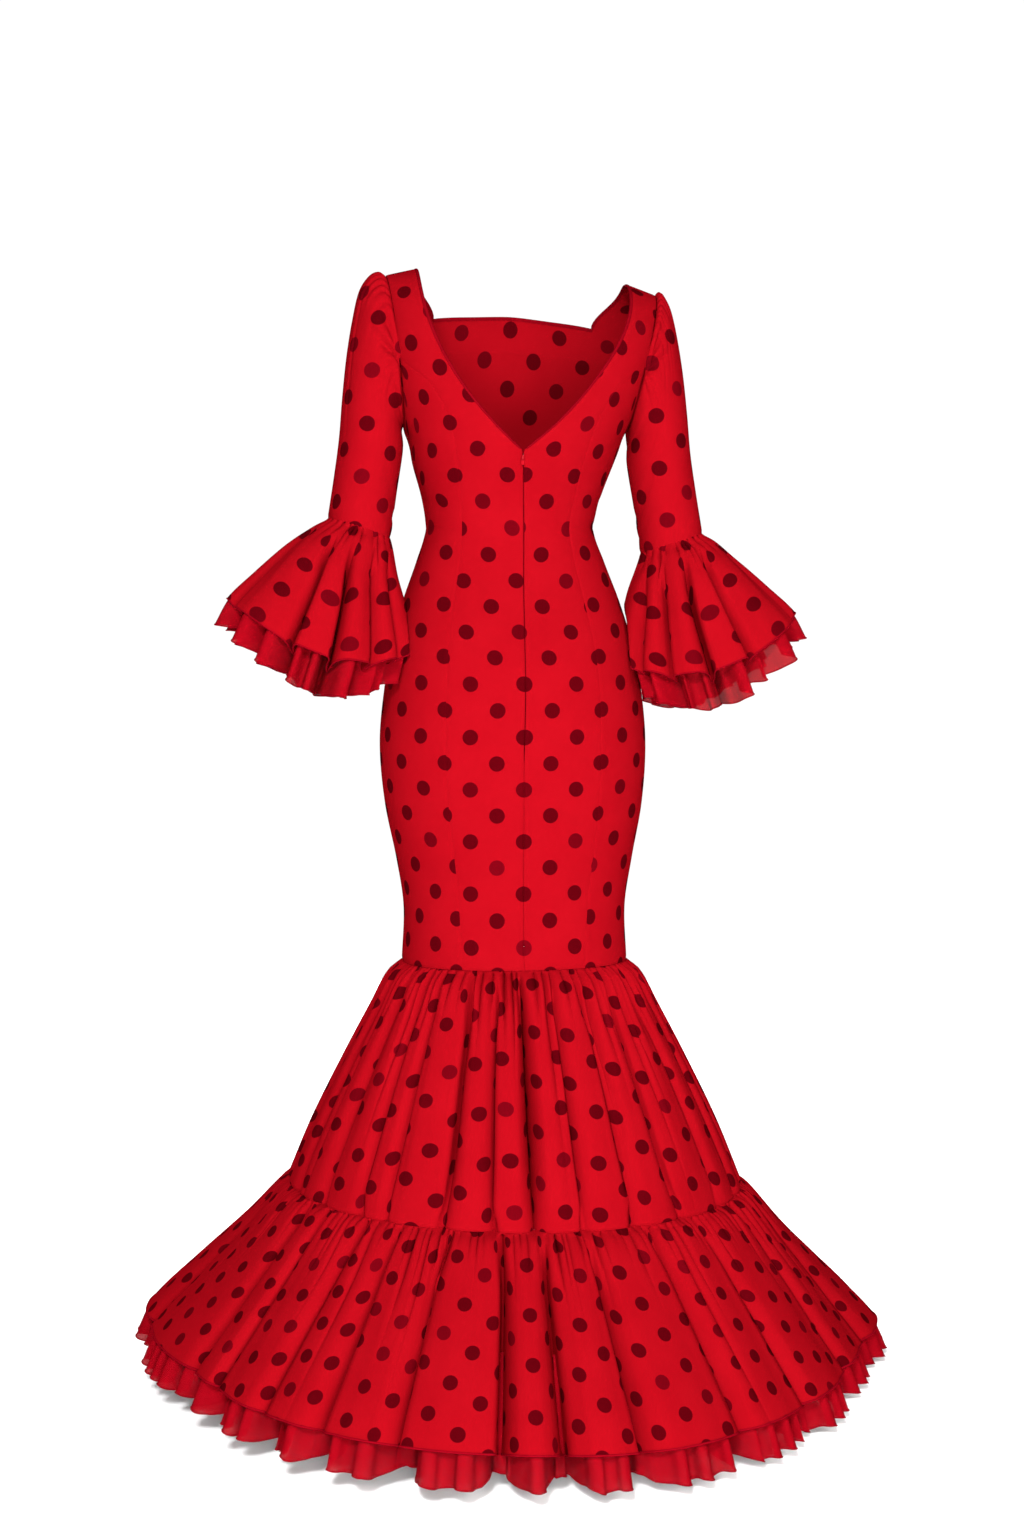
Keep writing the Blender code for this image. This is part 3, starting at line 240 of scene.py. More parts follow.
# Creases on the body, by (back, side): soft troughs from one (across from the centre, height) to another,
# with depth and width.
CREASES = {
    (True, 1): (
        (0.112, -0.335, 0.070, -0.341, 0.0016, 0.006),
        (0.108, -0.352, 0.082, -0.362, 0.0012, 0.007),
        (0.120, -0.300, 0.085, -0.322, 0.0010, 0.007),
        (0.150, -0.215, 0.112, -0.245, 0.0014, 0.008),
        (0.150, -0.700, 0.060, -0.725, 0.0012, 0.016),
        (0.130, -0.790, 0.040, -0.800, 0.0010, 0.013),
    ),
    (True, -1): (
        (0.112, -0.333, 0.066, -0.340, 0.0018, 0.006),
        (0.106, -0.350, 0.080, -0.358, 0.0012, 0.006),
        (0.120, -0.298, 0.088, -0.320, 0.0010, 0.007),
        (0.150, -0.213, 0.110, -0.240, 0.0014, 0.008),
        (0.148, -0.690, 0.050, -0.720, 0.0012, 0.016),
        (0.130, -0.800, 0.046, -0.812, 0.0010, 0.013),
    ),
    (False, 1): (
        (0.110, -0.336, 0.050, -0.344, 0.0016, 0.007),
        (0.148, -0.220, 0.118, -0.250, 0.0016, 0.009),
        (0.120, -0.640, 0.030, -0.668, 0.0014, 0.016),
        (0.110, -0.770, 0.020, -0.786, 0.0010, 0.014),
    ),
    (False, -1): (
        (0.110, -0.334, 0.046, -0.341, 0.0016, 0.007),
        (0.148, -0.220, 0.118, -0.248, 0.0016, 0.009),
        (0.120, -0.652, 0.022, -0.684, 0.0014, 0.016),
        (0.110, -0.765, 0.030, -0.776, 0.0010, 0.014),
    ),
}
# Creases over a sleeve's cap; start and end are (angle from the shoulder, distance from the armhole).
CAP_CREASES = table(
    "start end depth",
    ((1.78, 0.002), (0.75, 0.024), 0.0054),
    ((1.78, 0.002), (0.95, 0.060), 0.0044),
    ((1.74, 0.004), (1.30, 0.044), 0.0034),
    ((1.86, 0.004), (1.55, 0.075), 0.0016),
    ((1.96, 0.006), (1.90, 0.060), 0.0014),
)
CAP_REACH = 0.085  # cloth round the armhole for each radian
CAP_GATHERED = 1.15  # the cap is gathered up to this angle from the shoulder
CAP_CREASE_WIDTH = (0.0026, 0.0070)  # at a cap crease's start and end
# Creases at the elbow; place is the distance from the armhole, turn the angle, reach how far they run round.
SLEEVE_CREASES = table(
    "place turn depth reach",
    (0.100, 3.0, 0.0020, 0.8),
    (0.128, 3.3, 0.0015, 0.7),
    (0.215, 2.7, 0.0016, 0.8),
    (0.238, 3.5, 0.0014, 0.7),
    (0.262, 2.9, 0.0012, 0.7),
)
ELBOW_SLANT, ELBOW_WIDTH = 0.02, 0.007

# Where the centre-back seam runs while the waist and hips swing aside.
CENTRE_SEAM = table(
    "z x",
    (-0.907, 0.0014), (-0.770, 0.0025), (-0.700, 0.0032), (-0.630, 0.0038), (-0.560, 0.0018),
    (-0.490, 0.0010), (-0.420, -0.0005), (-0.350, -0.0026), (-0.300, -0.0015), (-0.2426, 0.0018),
)
# How far the middle column of dots runs to the wearer's left of the centre seam, on each half.
CENTRE_GRAIN = table(
    "up left right",
    (0.000, 0.0000, 0.0000), (0.339, 0.0010, 0.0000), (0.373, 0.0020, 0.0020), (0.407, 0.0045, 0.0040),
    (0.441, 0.0065, 0.0078), (0.476, 0.0078, 0.0112), (0.512, 0.0097, 0.0118), (0.547, 0.0116, 0.0116),
    (0.582, 0.0155, 0.0070), (0.617, 0.0187, 0.0039), (0.651, 0.0205, -0.0020), (0.684, 0.0250, -0.0058),
    (0.717, 0.0312, -0.0155), (0.750, 0.0395, -0.0212), (0.785, 0.0470, -0.0230), (0.822, 0.0560, -0.0232),
    (0.860, 0.0610, -0.0200), (1.000, 0.0600, -0.0100),
)
# How far a side panel's straight grain runs from its princess seam, and the cloth eased in there.
SIDE_GRAIN = table(
    "up across ease",
    (-0.10, 0.0115, 0.05), (0.000, 0.0135, 0.08), (0.070, 0.0170, 0.13), (0.139, 0.0235, 0.06),
    (0.207, 0.0230, 0.01), (0.273, 0.0200, 0.00), (0.341, 0.0200, 0.00), (0.410, 0.0158, 0.00),
    (0.480, 0.0080, 0.00), (0.551, 0.0005, 0.00), (0.620, -0.0040, 0.00), (0.800, -0.0040, 0.00),
)
# How much a panel is eased along its length, below each height.
RISES = table(
    "up centre side",
    (0.000, -0.0015, 0.0015), (0.100, 0.0005, 0.0020), (0.200, 0.0010, 0.0022), (0.300, -0.0005, 0.0008),
    (0.400, -0.0008, 0.0012), (0.480, 0.0005, 0.0040), (0.550, 0.0035, 0.0072), (0.650, 0.0055, 0.0090),
    (0.800, 0.0060, 0.0090), (0.850, 0.0100, 0.0090), (0.930, 0.0190, 0.0090),
)

# The neckline's strip across the edge, from its face to its inside, as (into the cloth, out).
BINDING_SECTION = np.array(
    [
        (0.0034, 0.0002),
        (0.0031, 0.0009),
        (0.0021, 0.0012),
        (0.0007, 0.0012),
        (-0.0003, 0.0008),
        (-0.0008, -0.0001),
        (-0.0008, -0.0011),
        (-0.0003, -0.0019),
        (0.0008, -0.0023),
        (0.0034, -0.0022),
    ]
)

# ---------------- curves and helpers


def smooth(share):
    share = np.clip(share, 0.0, 1.0)
    return share * share * (3 - 2 * share)


def mix(a, b, share):
    return a + (b - a) * share


def read(rows, column, at):
    """A column of a table at places along its first column, as a smooth curve through its rows."""
    rows = sorted(rows)
    places = np.array([row[0] for row in rows], float)
    values = np.array([getattr(row, column) for row in rows], float)
    return through(places, values, at)


def step_of(places, at):
    """Which step between rising places each value lies in."""
    return np.clip(np.searchsorted(places, at, side="right") - 1, 0, len(places) - 2)


def through(places, values, at):
    """Smooth values between given ones."""
    at = np.clip(np.asarray(at, float), places[0], places[-1])
    low = step_of(places, at)
    slopes = np.empty_like(values)
    slopes[1:-1] = ((values[2:] - values[:-2]).T / (places[2:] - places[:-2])).T
    slopes[0] = (values[1] - values[0]) / (places[1] - places[0])
    slopes[-1] = (values[-1] - values[-2]) / (places[-1] - places[-2])
    width = places[low + 1] - places[low]
    t = (at - places[low]) / width
    if values.ndim > 1:
        width, t = (a.reshape(a.shape + (1,) * (values.ndim - 1)) for a in (width, t))
    return (
        values[low] * (1 + 2 * t) * (1 - t) ** 2
        + slopes[low] * width * t * (1 - t) ** 2
        + values[low + 1] * t * t * (3 - 2 * t)
        + slopes[low + 1] * width * t * t * (t - 1)
    )


def running(steps):
    """Running sums, from 0."""
    return np.concatenate([[0], np.cumsum(steps)])


def bell(share):
    """1 in the middle, falling softly to 0 on both sides."""
    return np.exp(-(share**2))


def points_of(*axes):
    """A grid of points from its coordinates: x, y and z, or across and up on the flat cloth."""
    return np.stack(np.broadcast_arrays(*axes), axis=-1)


def axes_of(points):
    """The x, y and z of a grid of points."""
    return np.moveaxis(points, -1, 0)


def lengths(points, axis):
    """Distance travelled along the rows (axis 0) or columns (axis 1) of a grid of points."""
    steps = np.linalg.norm(np.diff(points, axis=axis), axis=2)
    pad = [(0, 0), (0, 0)]
    pad[axis] = (1, 0)
    return np.pad(np.cumsum(steps, axis=axis), pad)


def facing(points, closed=False):
    """Unit normals of a grid of points."""
    if closed:
        across = np.roll(points, -1, axis=1) - np.roll(points, 1, axis=1)
    else:
        across = np.gradient(points, axis=1)
    normal = np.cross(across, np.gradient(points, axis=0))
    return normal / np.maximum(np.linalg.norm(normal, axis=2, keepdims=True), 1e-12)


def spaced(low, high, step, edges=()):
    """Even places between two ends, with closer ones at given distances from each end."""
    count = max(round((high - low) / step), 2)
    middle = np.linspace(low, high, count + 1)
    if edges:
        margin = max(edges) + step / 2
        middle = middle[(middle > low + margin) & (middle < high - margin)]
    return np.concatenate([[low], low + np.array(edges), middle, high - np.array(edges[::-1]), [high]])


# ---------------- meshes

Grid = namedtuple("Grid", "points flat")  # rows of points, and each one's place on the flat cloth


def for_grid(points, flat, sign):
    """Orders a grid so that its faces point outwards, given whether its normals do: sign above 0."""
    if sign > 0:
        return Grid(points, flat)
    return Grid(points[:, ::-1], flat[:, ::-1])


def outwards(points, closed=False):
    """1 or -1: which way a grid's normals point from its middle."""
    away = points - points.mean(axis=(0, 1))
    away[:, :, 2] = 0
    return 1 if (facing(points, closed) * away).sum() > 0 else -1


def laid_out(points):
    """Places on flat cloth straight from the lengths along a grid's rows and columns."""
    return points_of(lengths(points, 1), lengths(points, 0))


def pick(*things):
    """Selects only these objects, with the first one active."""
    for thing in bpy.data.objects:
        thing.select_set(thing in things)
    if things:
        bpy.context.view_layer.objects.active = things[0]


def add_sheet(name, grids, thickness):
    """Cloth through grids of points, sewn into one wall, with a UV map in metres of flat cloth."""
    parts = []
    for grid in grids:
        high, wide = grid.points.shape[:2]
        pick()
        bpy.ops.mesh.primitive_grid_add(x_subdivisions=wide - 1, y_subdivisions=high - 1, size=2)
        parts.append(bpy.context.object)
        mesh = parts[-1].data
        corner = np.empty(len(mesh.loops), int)
        mesh.loops.foreach_get("vertex_index", corner)
        flat = grid.flat.reshape(-1, 2)[corner]
        mesh.uv_layers.active.data.foreach_set("uv", flat.astype(np.float32).ravel())
        mesh.vertices.foreach_set("co", grid.points.astype(np.float32).ravel())
    pick(*parts)
    sheet = parts[0]
    if len(parts) > 1:
        bpy.ops.object.join()
    bpy.ops.object.mode_set(mode="EDIT")
    bpy.ops.mesh.select_all(action="SELECT")
    bpy.ops.mesh.remove_doubles(threshold=1e-6)
    bpy.ops.object.mode_set(mode="OBJECT")
    wall = sheet.modifiers.new("thickness", "SOLIDIFY")
    wall.thickness = thickness
    wall.offset = -1
    bpy.ops.object.modifier_apply(modifier=wall.name)
    bpy.ops.object.shade_smooth_by_angle(angle=math.radians(75))
    sheet.name = sheet.data.name = name
    return sheet


def dressed(piece, coat, nodes):
    """Gives a piece its material and body, and hides the solids that it stands for."""
    piece.data.materials.clear()
    piece.data.materials.append(coat)
    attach(piece, "dress")
    if nodes:
        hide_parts(*nodes)
    return piece


# ---------------- materials


def feed(target, inputs):
    """Sets a node's inputs, or links them where the value is another node's output."""
    for name, value in inputs.items():
        socket = target.inputs[name]
        if isinstance(value, bpy.types.NodeSocket):
            target.id_data.links.new(value, socket)
        else:
            socket.default_value = value


def node(tree, kind, inputs, **settings):
    made = tree.nodes.new("ShaderNode" + kind)
    for setting, value in settings.items():
        setattr(made, setting, value)
    feed(made, inputs)
    return made


def material(name, inputs):
    """A material, with its shader and its tree of nodes."""
    made = bpy.data.materials.new(name)
    made.use_nodes = True
    shader = made.node_tree.nodes["Principled BSDF"]
    feed(shader, inputs)
    return made, shader, made.node_tree


def matt(roughness):
    return {"Roughness": roughness, "Specular IOR Level": 0.0}


def math_node(tree, kind, operation, *values):
    return node(tree, kind, dict(enumerate(values)), operation=operation).outputs


def ramp(tree, factor, colours, places=(0.0, 1.0)):
    """A colour between two, for a factor between two places."""
    made = node(tree, "ValToRGB", {"Fac": factor})
    for element, place, colour in zip(made.color_ramp.elements, places, colours):
        element.position = place
        element.color = (*colour, 1)
    return made.outputs["Color"]


def weave_bump(tree, shader, at, threads, strength):
    """Warp and weft as two crossed waves."""
    inputs = {"Vector": at, "Scale": threads, "Distortion": 0.6, "Detail": 1.0}
    waves = [node(tree, "TexWave", inputs, bands_direction=way).outputs["Fac"] for way in ("X", "Y")]
    height = math_node(tree, "Math", "MAXIMUM", *waves)[0]
    bump = node(tree, "Bump", {"Strength": strength, "Distance": 0.0003, "Height": height})
    feed(shader, {"Normal": bump.outputs["Normal"]})


def flat_place(tree):
    """The place on the flat cloth, in metres."""
    return node(tree, "UVMap", {}, uv_map="UVMap").outputs["UV"]


CLOTH_RED = (0.171, 0.0012, 0.0035), (0.184, 0.0015, 0.0040)  # each colour varies between two
# the paler of the dots' two colours is painted sheen, given to a few dots picked at random
DOT_RED = (0.043, 0.0003, 0.0014), (0.072, 0.0005, 0.0023)
ORGANZA_RED = (0.150, 0.0008, 0.0034), (0.190, 0.0011, 0.0046)
ENAMEL_RED = (0.190, 0.002, 0.005), (0.240, 0.003, 0.007)


def dotted_cloth():
    """Red crepe with a lattice of dark dots; a few of them, picked at random, are painted paler as painted
    sheen.
    """
    made, shader, tree = material("dotted_cloth", matt(0.62))

    def vectors(operation, *values):
        return math_node(tree, "VectorMath", operation, *values)

    uv = flat_place(tree)
    cells = node(tree, "VectorMath", {0: uv, "Scale": 1 / DOT_STEP}, operation="SCALE").outputs[0]
    distances, painted_sheen = [], []
    for offset in (0.5, 0.0):
        placed = vectors("ADD", cells, (offset, offset, 0))[0]
        centred = vectors("SUBTRACT", vectors("FRACTION", placed)[0], (0.5, 0.5, 0))[0]
        distances.append(vectors("LENGTH", vectors("MULTIPLY", centred, (1, 1, 0))[0])["Value"])
        own = vectors("ADD", vectors("FLOOR", placed)[0], (3.7 + 9 * offset, 1.3, 0))[0]
        noise = node(tree, "TexWhiteNoise", {"Vector": own}, noise_dimensions="2D")
        painted_sheen.append(noise.outputs["Value"])
    nearest = math_node(tree, "Math", "MINIMUM", *distances)[0]
    second = math_node(tree, "Math", "LESS_THAN", *distances[::-1])[0]
    # pale: how much painted sheen each dot gets, from its own random number
    pale = node(tree, "Mix", {0: second, 2: painted_sheen[0], 3: painted_sheen[1]}, data_type="FLOAT").outputs[0]
    dot_colour_with_sheen = ramp(tree, pale, DOT_RED, (0.72, 1.0))
    mottle = node(tree, "TexNoise", {"Vector": uv, "Scale": 14, "Detail": 3}).outputs["Fac"]
    ground = ramp(tree, mottle, CLOTH_RED, (0.3, 0.7))
    limits = {"From Min": (DOT - DOT_SOFT) / DOT_STEP, "From Max": (DOT + DOT_SOFT) / DOT_STEP}
    edge = node(tree, "MapRange", {"Value": nearest, **limits}).outputs["Result"]
    colour = node(tree, "Mix", {0: edge, 6: dot_colour_with_sheen, 7: ground}, data_type="RGBA").outputs[2]
    feed(shader, {"Base Color": colour})
    weave_bump(tree, shader, uv, 400, 0.25)
    return made


def mottled(name, inputs, scale, colours, weave=None, on_flat=False):
    """A material whose colour varies softly between two; weave is its threads' number and strength."""
    made, shader, tree = material(name, inputs)
    at = flat_place(tree) if on_flat else node(tree, "TexCoord", {}).outputs["Object"]
    noise = node(tree, "TexNoise", {"Vector": at, "Scale": scale})
    feed(shader, {"Base Color": ramp(tree, noise.outputs["Fac"], colours)})
    if weave:
        weave_bump(tree, shader, at, *weave)
    return made


def plain_cloth(name, colour, roughness):
    colours = [[share * c for c in colour] for share in (0.88, 1.12)]
    return mottled(name, matt(roughness), 60, colours, (400, 0.3))


def organza_cloth():
    """Crisp see-through crimson cloth."""
    inputs = {**matt(0.42), "Alpha": 0.82}
    return mottled("crimson_organza", inputs, 30, ORGANZA_RED, (500, 0.05), on_flat=True)


def enamelled_metal():
    inputs = {**matt(0.42), "Coat Weight": 0.06, "Coat Roughness": 0.15}
    return mottled("zip_enamel", inputs, 900, ENAMEL_RED)


# ---------------- the body's surface


def armhole_at(z):
    """(x, y) of the armhole's edge at a height."""
    middle = UNDERARM_Z / 2
    up = np.clip((z - middle) / -middle, -1.0, 1.0)
    return mix(UNDERARM_X, TIP_X, (up + 1) / 2), ARMHOLE_DEPTH * np.sqrt(1 - up * up)


def depth_at(z, back):
    column = "back" if back else "front"
    rounding = np.sqrt(np.maximum(1 - (1 - np.maximum(z, SHOULDER_ROUND_Z) / SHOULDER_ROUND_Z) ** 2, 0))
    return read(BODY, column, np.minimum(z, SHOULDER_ROUND_Z)) * np.where(z > SHOULDER_ROUND_Z, rounding, 1)


def half_width_at(z, back):
    z = np.minimum(z, -1e-5)
    x, y = armhole_at(np.maximum(z, UNDERARM_Z))
    share = np.where(z > UNDERARM_Z, y / depth_at(z, back), 0)
    above = x / (1 - share**ROUNDNESS) ** (1 / ROUNDNESS)
    return np.where(z > UNDERARM_Z, above, read(BODY, "half_width", z))


def turn_of(x, z, back):
    return np.arccos(np.clip(np.abs(x) / half_width_at(z, back), 0, 1) ** (ROUNDNESS / 2))


def on_body(turn, z, back, side):
    """Points of the straight body's surface: turn is 0 at the side and a quarter turn at the centre."""
    z = np.minimum(z, -1e-5) + 0 * turn
    x = half_width_at(z, back) * np.maximum(np.cos(turn), 0.0) ** (2 / ROUNDNESS)
    y = depth_at(z, back) * np.maximum(np.sin(turn), 0.0) ** (2 / ROUNDNESS)
    return points_of(side * x, y if back else -y, z)


def body_at(x, z, back, side):
    """Points of the straight body's surface at distances across from its centre."""
    return on_body(turn_of(x, z, back), z, back, side)


def posed(points):
    """Moves points of the straight dress to the wearer's stance."""
    x, y, z = axes_of(points)
    lean = smooth((z - LEAN_FROM_Z) / -LEAN_FROM_Z)
    rise = smooth((z - UNDERARM_Z) / -UNDERARM_Z)
    out = np.sqrt(x**2 + FRONT_NECK_ROUND**2 * smooth((FRONT_NECK_X - np.abs(x)) / FRONT_NECK_FADE))
    lift = rise * (SHOULDER_SLOPE * (NECK_POINT_X - out) + SHOULDER_TILT * x - SHOULDER_DROP)
    return points_of(x + read(BODY, "shift", z) + SHOULDER_LEAN * lean, y, z + lift)


def seam_x(z, back):
    sewn = read(BODY, "back_seam" if back else "front_seam", z)
    edge = armhole_at(np.maximum(z, UNDERARM_Z))[0]
    return np.where(z >= SEAM_TOP_Z, armhole_at(z)[0], np.minimum(sewn, edge))


def neck_x(z):
    closing = (BACK_V_Z - z - ZIP_OPEN_LENGTH) / ZIP_CLOSE_LENGTH
    below = SEAM_OPEN + ZIP_OPEN * (1 - smooth(closing))
    up = np.clip((z - BACK_V_Z) / -BACK_V_Z, 0, 1)
    above = np.maximum(NECK_POINT_X * (1 - (1 - up) ** BACK_V_CURVE), SEAM_OPEN + ZIP_OPEN)
    return np.where(z <= BACK_V_Z, below, above)


def crease_depth(x, z, back, side):
    """How deep the cloth's creases are at places on the body."""
    total = np.zeros_like(x)
    for x0, z0, x1, z1, depth, width in CREASES[back, side]:
        way = np.array((x1 - x0, z1 - z0))
        length = np.linalg.norm(way)
        way = way / length
        along = (x - x0) * way[0] + (z - z0) * way[1]
        off = (z - z0) * way[0] - (x - x0) * way[1]
        share = along / length
        taper = smooth(share / 0.25 + 0.6) * (1 - smooth((share - 0.35) / 0.75))
        total += depth * taper * bell(off / width)
    return total


# ---------------- the body's panels

SEAM_STEPS = (0.0006, 0.0013, 0.0022, 0.0040)
ROW_STEP = 0.0050
COLUMN_STEP = 0.0055
CENTRE_WIDTH, SIDE_WIDTH, STRAP_WIDTH = 0.09, 0.10, 0.05  # that a panel's columns are spread over
PANEL_EDGES = (1, PRESSED, 1, 1)  # how much a panel's inner, princess, low and high edges roll in


def seamed(points, ends, sign):
    """Rolls a grid's sewn edges inwards: ends says how much its left, right, low and high edges roll."""
    across, along = lengths(points, 1), lengths(points, 0)
    gaps = (across, across[:, -1:] - across, along, along[-1:] - along)
    dip = sum(roll * bell(gap / SEAM_SOFT) for gap, roll in zip(gaps, ends) if roll)
    return points - facing(points) * sign * (SEAM_DIP * np.minimum(dip, 1))[..., None]


def body_rows(low, high):
    straight = spaced(low, min(high, SHOULDER_ROUND_Z), ROW_STEP, SEAM_STEPS[:3])
    if high < SHOULDER_ROUND_Z:
        return straight
    degrees = np.linspace(0, 90, 26)[1:]
    return np.concatenate([straight, SHOULDER_ROUND_Z * (1 - np.sin(np.radians(degrees)))])


def column_shares(width):
    return spaced(0.0, width, COLUMN_STEP, SEAM_STEPS) / width


def placed(drawn, back, side, ends):
    """Poses a panel's drawn points, rolls its seams in and lays its creases."""
    points = posed(drawn)
    sign = outwards(points)
    depth = crease_depth(np.abs(drawn[..., 0]), drawn[..., 2], back, side)
    points = points - facing(points) * sign * depth[..., None]
    return seamed(points, ends, sign) - HELD_AT, sign


PROFILE_X = 0.080  # cloth heights are measured up the body this far from its centre


def cloth_height(z, back):
    """Length of cloth up from the knee seam to a height, measured up one line of the body."""
    shoulder = np.linspace(SHOULDER_ROUND_Z, -1e-4, 80)[1:]
    level = np.concatenate([np.linspace(KNEE_Z, SHOULDER_ROUND_Z, 200), shoulder])
    turn = np.arccos((PROFILE_X / half_width_at(level, back)) ** (ROUNDNESS / 2))
    path = on_body(turn, level, back, 1)
    step = np.hypot(np.diff(path[:, 1]), np.diff(path[:, 2]))
    return np.interp(z, level, running(step))


def flat_body(points, z, back, grain):
    """Places on the flat cloth: across from a grain column, and up from the knee seam."""
    across = lengths(points, 1)
    return across - across[:, grain][:, None], cloth_height(z, back)


def arc_from_centre(x, z, back):
    """Length round the body from its middle to a place across it, for each height."""
    turns = np.linspace(np.full(len(z), np.pi / 2), turn_of(x, z, back), 24, axis=1)
    return lengths(on_body(turns, z[:, None] + 0 * turns, back, 1), 1)[:, -1]


def seam_swing(z, back):
    """How far a princess seam has swung out above the level where it leaves the straight grain."""
    levels = np.linspace(SWING_FROM_Z, SEAM_TOP_Z, 60)
    arc = arc_from_centre(seam_x(levels, back), levels, back)
    return np.interp(z, levels, arc - arc[0])


def centre_grain(up, side):
    return read(CENTRE_GRAIN, "left" if side > 0 else "right", up)


def back_centre(side):
    """Half of the centre-back panel, from the centre seam or the neckline to the princess seam."""
    z = body_rows(KNEE_Z, 0.0)
    neck, seam = (turn_of(edge, z, True)[:, None] for edge in (neck_x(z), seam_x(z, True)))
    turn = mix(neck, seam, column_shares(CENTRE_WIDTH))
    drawn = on_body(turn, z[:, None], True, side)
    near = np.clip(1 - np.abs(drawn[..., 0]) / seam_x(z, True)[:, None], 0, 1) * (z[:, None] < BACK_V_Z)
    away = read(CENTRE_SEAM, "x", z) - read(BODY, "shift", z)
    drawn[..., 0] += away[:, None] * near
    drawn[-1, :, 1] = SEAM_OPEN
    drawn[-1, :, 2] = 0.0
    points, sign = placed(drawn, True, side, PANEL_EDGES)
    closed = neck_x(z) < 2 * SEAM_OPEN
    over_zip, below_zip = SLIT
    narrowing, shut, opening = SLIT_FADE
    slit = mix(below_zip, over_zip, smooth((z - ZIP_END_Z) / narrowing + 1))
    slit = slit * smooth((BACK_V_Z - shut - z) / opening)
    points[closed, 0, 0] = (posed(drawn[:, 0]) - HELD_AT)[closed, 0] + side * slit[closed]
    return points, sign, z


def centre_flat(points, z, side):
    across, up = flat_body(points, z[:, None] + np.zeros(points.shape[1]), True, 0)
    neck_arc = arc_from_centre(neck_x(z), z, True) * (z > BACK_V_Z)
    across = (across + neck_arc[:, None]) * side - centre_grain(up[:, :1], side)
    return points_of(across, up - DOT_ROW - read(RISES, "centre", up))


def side_flat(points, z, back, side):
    across, up = flat_body(points, z, back, points.shape[1] - 1)
    own = across * (1 + read(SIDE_GRAIN, "ease", up)) - read(SIDE_GRAIN, "across", up) - SIDE_LAY
    high = up - DOT_ROW - read(RISES, "side", up)
    if not back:
        return points_of((own - seam_swing(z, back)) * side, high)
    seam = arc_from_centre(seam_x(z[:, -1], True), z[:, -1], True)
    whole = centre_grain(up, side) - side * (seam[:, None] - across - DOT_STEP)
    share = smooth((up - RUN_ON_UP) / RUN_ON_BLEND)
    high = mix(high, up - DOT_ROW - read(RISES, "centre", up), share)
    return points_of(mix(own * side, whole, share), high)


def side_tops(shares, back):
    """Where columns of a side panel meet the armhole."""
    low, high = np.full(len(shares), UNDERARM_Z), np.full(len(shares), SEAM_TOP_Z)
    for _ in range(40):
        middle = (low + high) / 2
        edge = turn_of(armhole_at(middle)[0], middle, back)
        below = edge < shares * turn_of(seam_x(middle, back), middle, back)
        low, high = np.where(below, middle, low), np.where(below, high, middle)
    return np.where(shares >= 1, SEAM_TOP_Z, low)


BASE_Z = -0.298  # below this the side panels' rows are level


def side_panel(side, back):
    """A side panel, from the side seam to the princess seam."""
    shares = column_shares(SIDE_WIDTH)
    levels = body_rows(KNEE_Z, SEAM_TOP_Z)[:, None]
    up = (levels - BASE_Z) / (SEAM_TOP_Z - BASE_Z)
    z = np.where(levels > BASE_Z, mix(BASE_Z, side_tops(shares, back), up), levels)
    drawn = on_body(turn_of(seam_x(z, back), z, back) * shares, z, back, side)
    drawn[:, 0, 1] = SEAM_OPEN if back else -SEAM_OPEN
    points, sign = placed(drawn, back, side, PANEL_EDGES)
    return points, sign, z


def front_strap(side, shares):
    """The cloth over the front of a shoulder, from the neckline to the armhole; with its points' heights."""
    z = np.concatenate([[FRONT_NECK_Z], body_rows(KNEE_Z, 0.0)])
    z = np.unique(z[z >= FRONT_NECK_Z])[:, None]
    edge = mix(FRONT_NECK_X, NECK_POINT_X, smooth((z - FRONT_NECK_Z) / -FRONT_NECK_Z))
    x = mix(edge, armhole_at(z)[0], shares)
    drawn = body_at(x, z, False, side)
    drawn[-1, :, 1] = -SEAM_OPEN
    drawn[-1, :, 2] = 0.0
    points, _ = placed(drawn, False, side, (0, 1, 0, 1))
    return points, z + 0 * x


def front_centre():
    """The centre-front panel: a half of the body on each side, and the two straps above the neckline."""
    grids, rims = [], {}
    z = body_rows(KNEE_Z, FRONT_NECK_Z - 1e-4)
    z = np.concatenate([z[z < FRONT_NECK_Z - 0.002], [FRONT_NECK_Z]])[:, None]
    inner = spaced(0.0, FRONT_NECK_X, COLUMN_STEP)[1:] / FRONT_NECK_X
    outer = column_shares(STRAP_WIDTH)
    seam = body_at(seam_x(z, False), z, False, 1)[..., 0]
    corner = FRONT_NECK_X * np.minimum(seam / armhole_at(np.maximum(z, FRONT_NECK_Z))[0], 1)
    x = np.concatenate([np.zeros_like(z), corner * inner[:-1], mix(corner, seam, outer)], axis=1)
    dip = FRONT_NECK_DIP * smooth((z - SEAM_TOP_Z) / (FRONT_NECK_Z - SEAM_TOP_Z))
    level = z - dip * (1 - smooth(x / corner))
    for side in (1, -1):
        body, sign = placed(body_at(x, level, False, side), False, side, (0, PRESSED, 1, 0))
        strap, strap_z = front_strap(side, outer)
        strap[0] = body[-1, -len(outer) :]
        across, up = flat_body(body, level, False, 0)
        flat = points_of(across * side, up - DOT_ROW)
        across, up = flat_body(strap, strap_z, False, 0)
        strap_flat = points_of(across * side + flat[-1, -len(outer), 0], up - DOT_ROW)
        grids += [for_grid(body, flat, sign), for_grid(strap, strap_flat, sign)]
        rims[side] = rim(strap, sign), rim(body[:, : len(inner)].transpose(1, 0, 2)[:, ::-1], sign)
    return grids, rims


Rim = namedtuple("Rim", "edge into out")


def rim(points, sign):
    """The left edge of a grid: its points, the ways into the cloth, and the ways out of its face."""
    into = points[:, 2] - points[:, 0]
    into = into / np.linalg.norm(into, axis=1, keepdims=True)
    out = facing(points)[:, 0]
    return Rim(points[:, 0], into, out * np.sign(out[:, 1].mean() * points[:, 0, 1].mean()))


